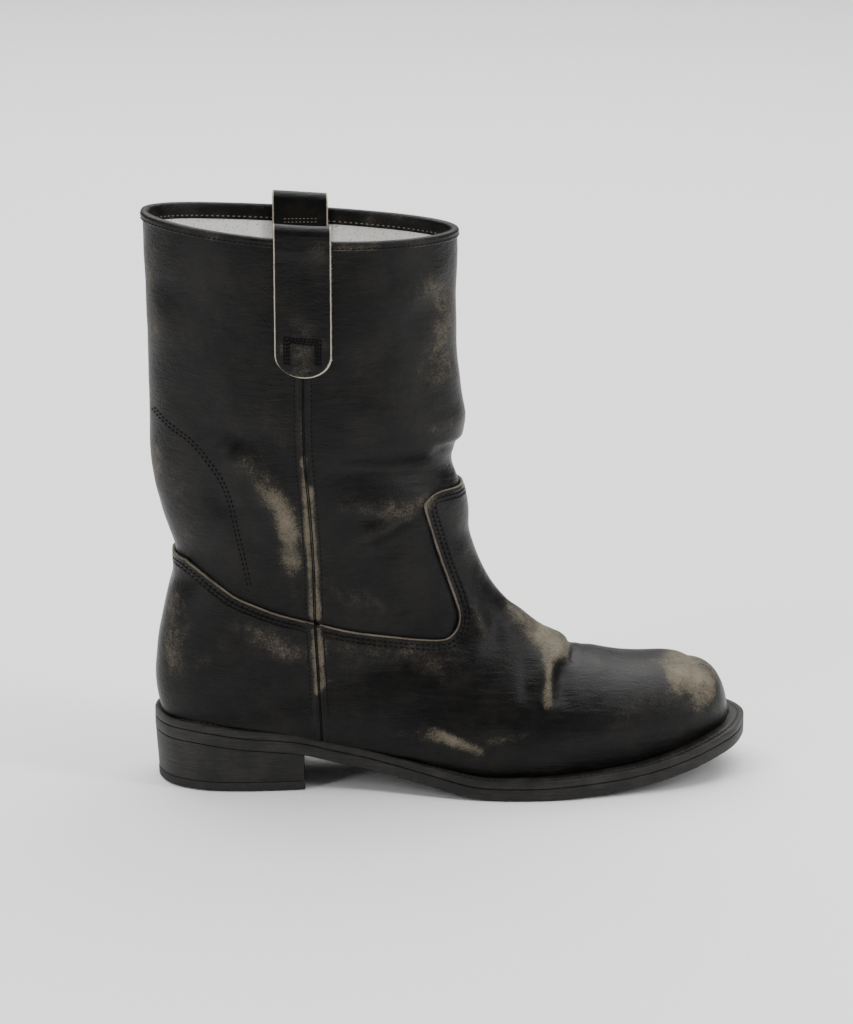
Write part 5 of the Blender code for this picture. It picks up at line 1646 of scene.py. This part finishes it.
SKIN_FORM = without_underside(lay_grid(OVERLAY_SKIN, "rows"))
dark, pale = bmesh.new(), bmesh.new()
for outline, line in ((VAMP_OUTLINE, VAMP_LINE), (COUNTER_OUTLINE, COUNTER_LINE)):
    for level in (2.7, 4.7):
        for path, ways in trace_rows(SKIN_FORM.copy(), outline, level * MM, line):
            sew(dark, path + ways * 0.05 * MM, ways, 2.7)
SKIN_FORM.free()
INNER_COUNTER = resample(smooth_curve(np.array([
    (-35.2, 191.9), (-27.2, 185.5), (-17.0, 179.3), (-8.4, 170.3), (-1.8, 160.3), (2.4, 148.5),
    (5.1, 135.5), (7.9, 122.2), (11.6, 104.2)]) * MM, closed=False), 0.5 * MM)
for side in (LATERAL, MEDIAL):
    for move in (-0.9, 0.9):
        path, ways = land_line(UPPER_TREE, beside(INNER_COUNTER, move * MM), side)
        sew(dark, path + ways * 0.10 * MM, ways, 2.6, width=0.85, height=0.60)
    upper_part = SEAM_LINE[(SEAM_LINE[:, 1] > SEAM_TOP + 1.5 * MM) & (SEAM_LINE[:, 1] < STRAP_BOTTOM + 4.0 * MM)]
    lower_part = SEAM_LINE[(SEAM_LINE[:, 1] < SEAM_TOP - 2.0 * MM) & (SEAM_LINE[:, 1] > 0.038)]
    for move in (-4.3, 3.9):
        for tree, part in ((UPPER_TREE, upper_part), (OVERLAY_TREE, lower_part)):
            path, ways = land_line(tree, part + [move * MM, 0.0], side)
            sew(dark, path + ways * 0.16 * MM, ways, 2.5, width=0.55)
print("dark thread", len(dark.faces), "faces")


# %% Box stitches, collar rows and welt row
def box_path(move):
    """Side view line of the strap's stitches, an open box, drawn in by a way in millimetres."""
    corners = [(-9.0 + move, 5.5), (-9.0 + move, 20.2 - move), (8.4 - move, 18.6 - move), (8.4 - move, 5.0)]
    line = np.array(corners) * MM + [STRAP_MIDDLE, STRAP_BOTTOM]
    return resample(line, 0.4 * MM)


def shifted(found, lift):
    """Path lifted off a surface by a way in millimetres, and its directions."""
    path, ways = found
    return path + ways * lift * MM, ways


for side in (LATERAL, MEDIAL):
    for move in (0.0, 1.2, 2.4):
        path, ways = shifted(land_line(STRAP_TREES[side], box_path(move), side), 0.15)
        sew(dark, path, ways, 1.9, length=0.98, width=1.15, height=0.8)
    for move in (0.0, 1.7):
        line = np.array([[-9.5, STRAP_LEG / MM - 6.0 - move], [9.5, STRAP_LEG / MM - 6.0 - move]]) * MM
        line = resample(line + [STRAP_MIDDLE, STRAP_BOTTOM], 0.4 * MM)
        path, ways = shifted(land_line(STRAP_TREES[side], line, side, inside=True), 0.12)
        sew(pale, path, ways, 1.9, length=0.6, width=0.5, height=0.4)
sew(dark, rim_path(0.98, -2.25), RIM_OUT, 2.6, width=0.55)
sew(pale, rim_path(-3.36, -5.3), -RIM_OUT, 2.8, length=0.55, width=0.6)
turn_in = inset(welt_edge, WELT_STITCHES * MM)
welt_path = np.column_stack([turn_in, outsole_top(welt_edge[:, 0]) + 3.95 * MM])
welt_row = bmesh.new()
sew(welt_row, welt_path, np.tile([0.0, 0.0, 1.0], (len(welt_path), 1)), 3.0, length=0.72, width=0.8, height=0.5)
finish_piece("panel_thread", dark, waxed_thread("black_thread", "0c0c0c"))
finish_piece("facing_thread", pale, waxed_thread("pale_thread", "a8a294"))
finish_piece("welt_thread", welt_row, waxed_thread("welt_thread", "57524a"))


# %% Frayed fibres of the straps' raw edges
def fray(form, side, edge_side, longest, count):
    """Short loose fibres that stand out of a strap's cut edge."""
    rows = strap_station(STRAP_MIDDLE + edge_side * (STRAP_WIDTH / 2.0 - 0.15 * MM), side)
    leg = resample(rows[:40], 0.2 * MM)
    tufts = bmesh.new()
    for step in range(count):
        draw = [noise.noise(Vector((step * 7.31, k * 3.7, edge_side * 11.0))) for k in range(4)]
        place = leg[int((step + 0.5 + 0.4 * draw[0]) / count * (len(leg) - 1))]
        reach = longest * (0.35 + abs(draw[1]) * 1.5) * MM
        way = Vector((edge_side, side * (0.2 + 0.5 * draw[2]), 0.9 * draw[3])).normalized()
        turn = way.to_track_quat("Z", "X").to_matrix().to_4x4()
        root = Vector(place) - Vector((0.0, side * (0.4 + 0.8 * abs(draw[2])) * MM, 0.0))
        bmesh.ops.create_cone(tufts, cap_ends=True, segments=3, radius1=0.10 * MM, radius2=0.02 * MM, depth=reach,
                              matrix=Matrix.Translation(root + way * reach * 0.45) @ turn)
    join(form, tufts)


def loose_fibre():
    """Pale fibres of the hide's core."""
    made, tree, shader = new_finish("hide_fibre")
    tone = pattern(tree, "ShaderNodeTexNoise", 1.5, Detail=1.0).outputs["Fac"]
    tree.links.new(mix_color(tree, tone, linear("d2c9b9"), linear("8f8779")), shader.inputs["Base Color"])
    shader.inputs["Roughness"].default_value = 0.85
    return made


fibres = bmesh.new()
for side in (LATERAL, MEDIAL):
    fray(fibres, side, 1.0, 0.9, 190)
    fray(fibres, side, -1.0, 0.4, 150)
finish_piece("strap_fibres", fibres, loose_fibre())

# %% Light, floor and the end
def soft_light(name, place, size, power, toward=(0.1, 0.0, 0.12)):
    """Square soft light that looks at the boot."""
    data = bpy.data.lights.new(name, "AREA")
    data.shape = "RECTANGLE"
    data.size, data.size_y = size
    data.energy = power
    light = bpy.data.objects.new(name, data)
    bpy.context.scene.collection.objects.link(light)
    light.location = place
    light.rotation_mode = "QUATERNION"
    light.rotation_quaternion = (Vector(toward) - Vector(place)).to_track_quat("-Z", "Y")
    return light


soft_light("overhead", (0.1, 1.1, 2.6), (4.5, 4.5), 230.0)
soft_light("left_panel", (-1.1, -0.9, 0.75), (0.30, 1.1), 9.0)
soft_light("right_panel", (1.3, -0.6, 0.85), (0.30, 1.1), 12.0)


def make_floor():
    """Pale seamless floor."""
    form = bmesh.new()
    bmesh.ops.create_grid(form, x_segments=1, y_segments=1, size=4.0)
    bmesh.ops.translate(form, verts=form.verts[:], vec=(0.0, 0.0, -0.0004))
    mesh = bpy.data.meshes.new("floor")
    form.to_mesh(mesh)
    form.free()
    floor = bpy.data.objects.new("floor", mesh)
    bpy.context.scene.collection.objects.link(floor)
    paper, tree, shader = new_finish("pale_paper")
    cloud = pattern(tree, "ShaderNodeTexNoise", 300.0, Detail=1.0).outputs["Fac"]
    tree.links.new(mix_color(tree, cloud, linear("fbfbfb"), linear("f8f8f7")), shader.inputs["Base Color"])
    shader.inputs["Roughness"].default_value = 0.9
    mesh.materials.append(paper)


make_floor()
world = bpy.data.worlds.new("studio")
world.use_nodes = True
world.node_tree.nodes["Background"].inputs["Color"].default_value = (1.0, 1.0, 1.0, 1.0)
world.node_tree.nodes["Background"].inputs["Strength"].default_value = 0.15
bpy.context.scene.world = world
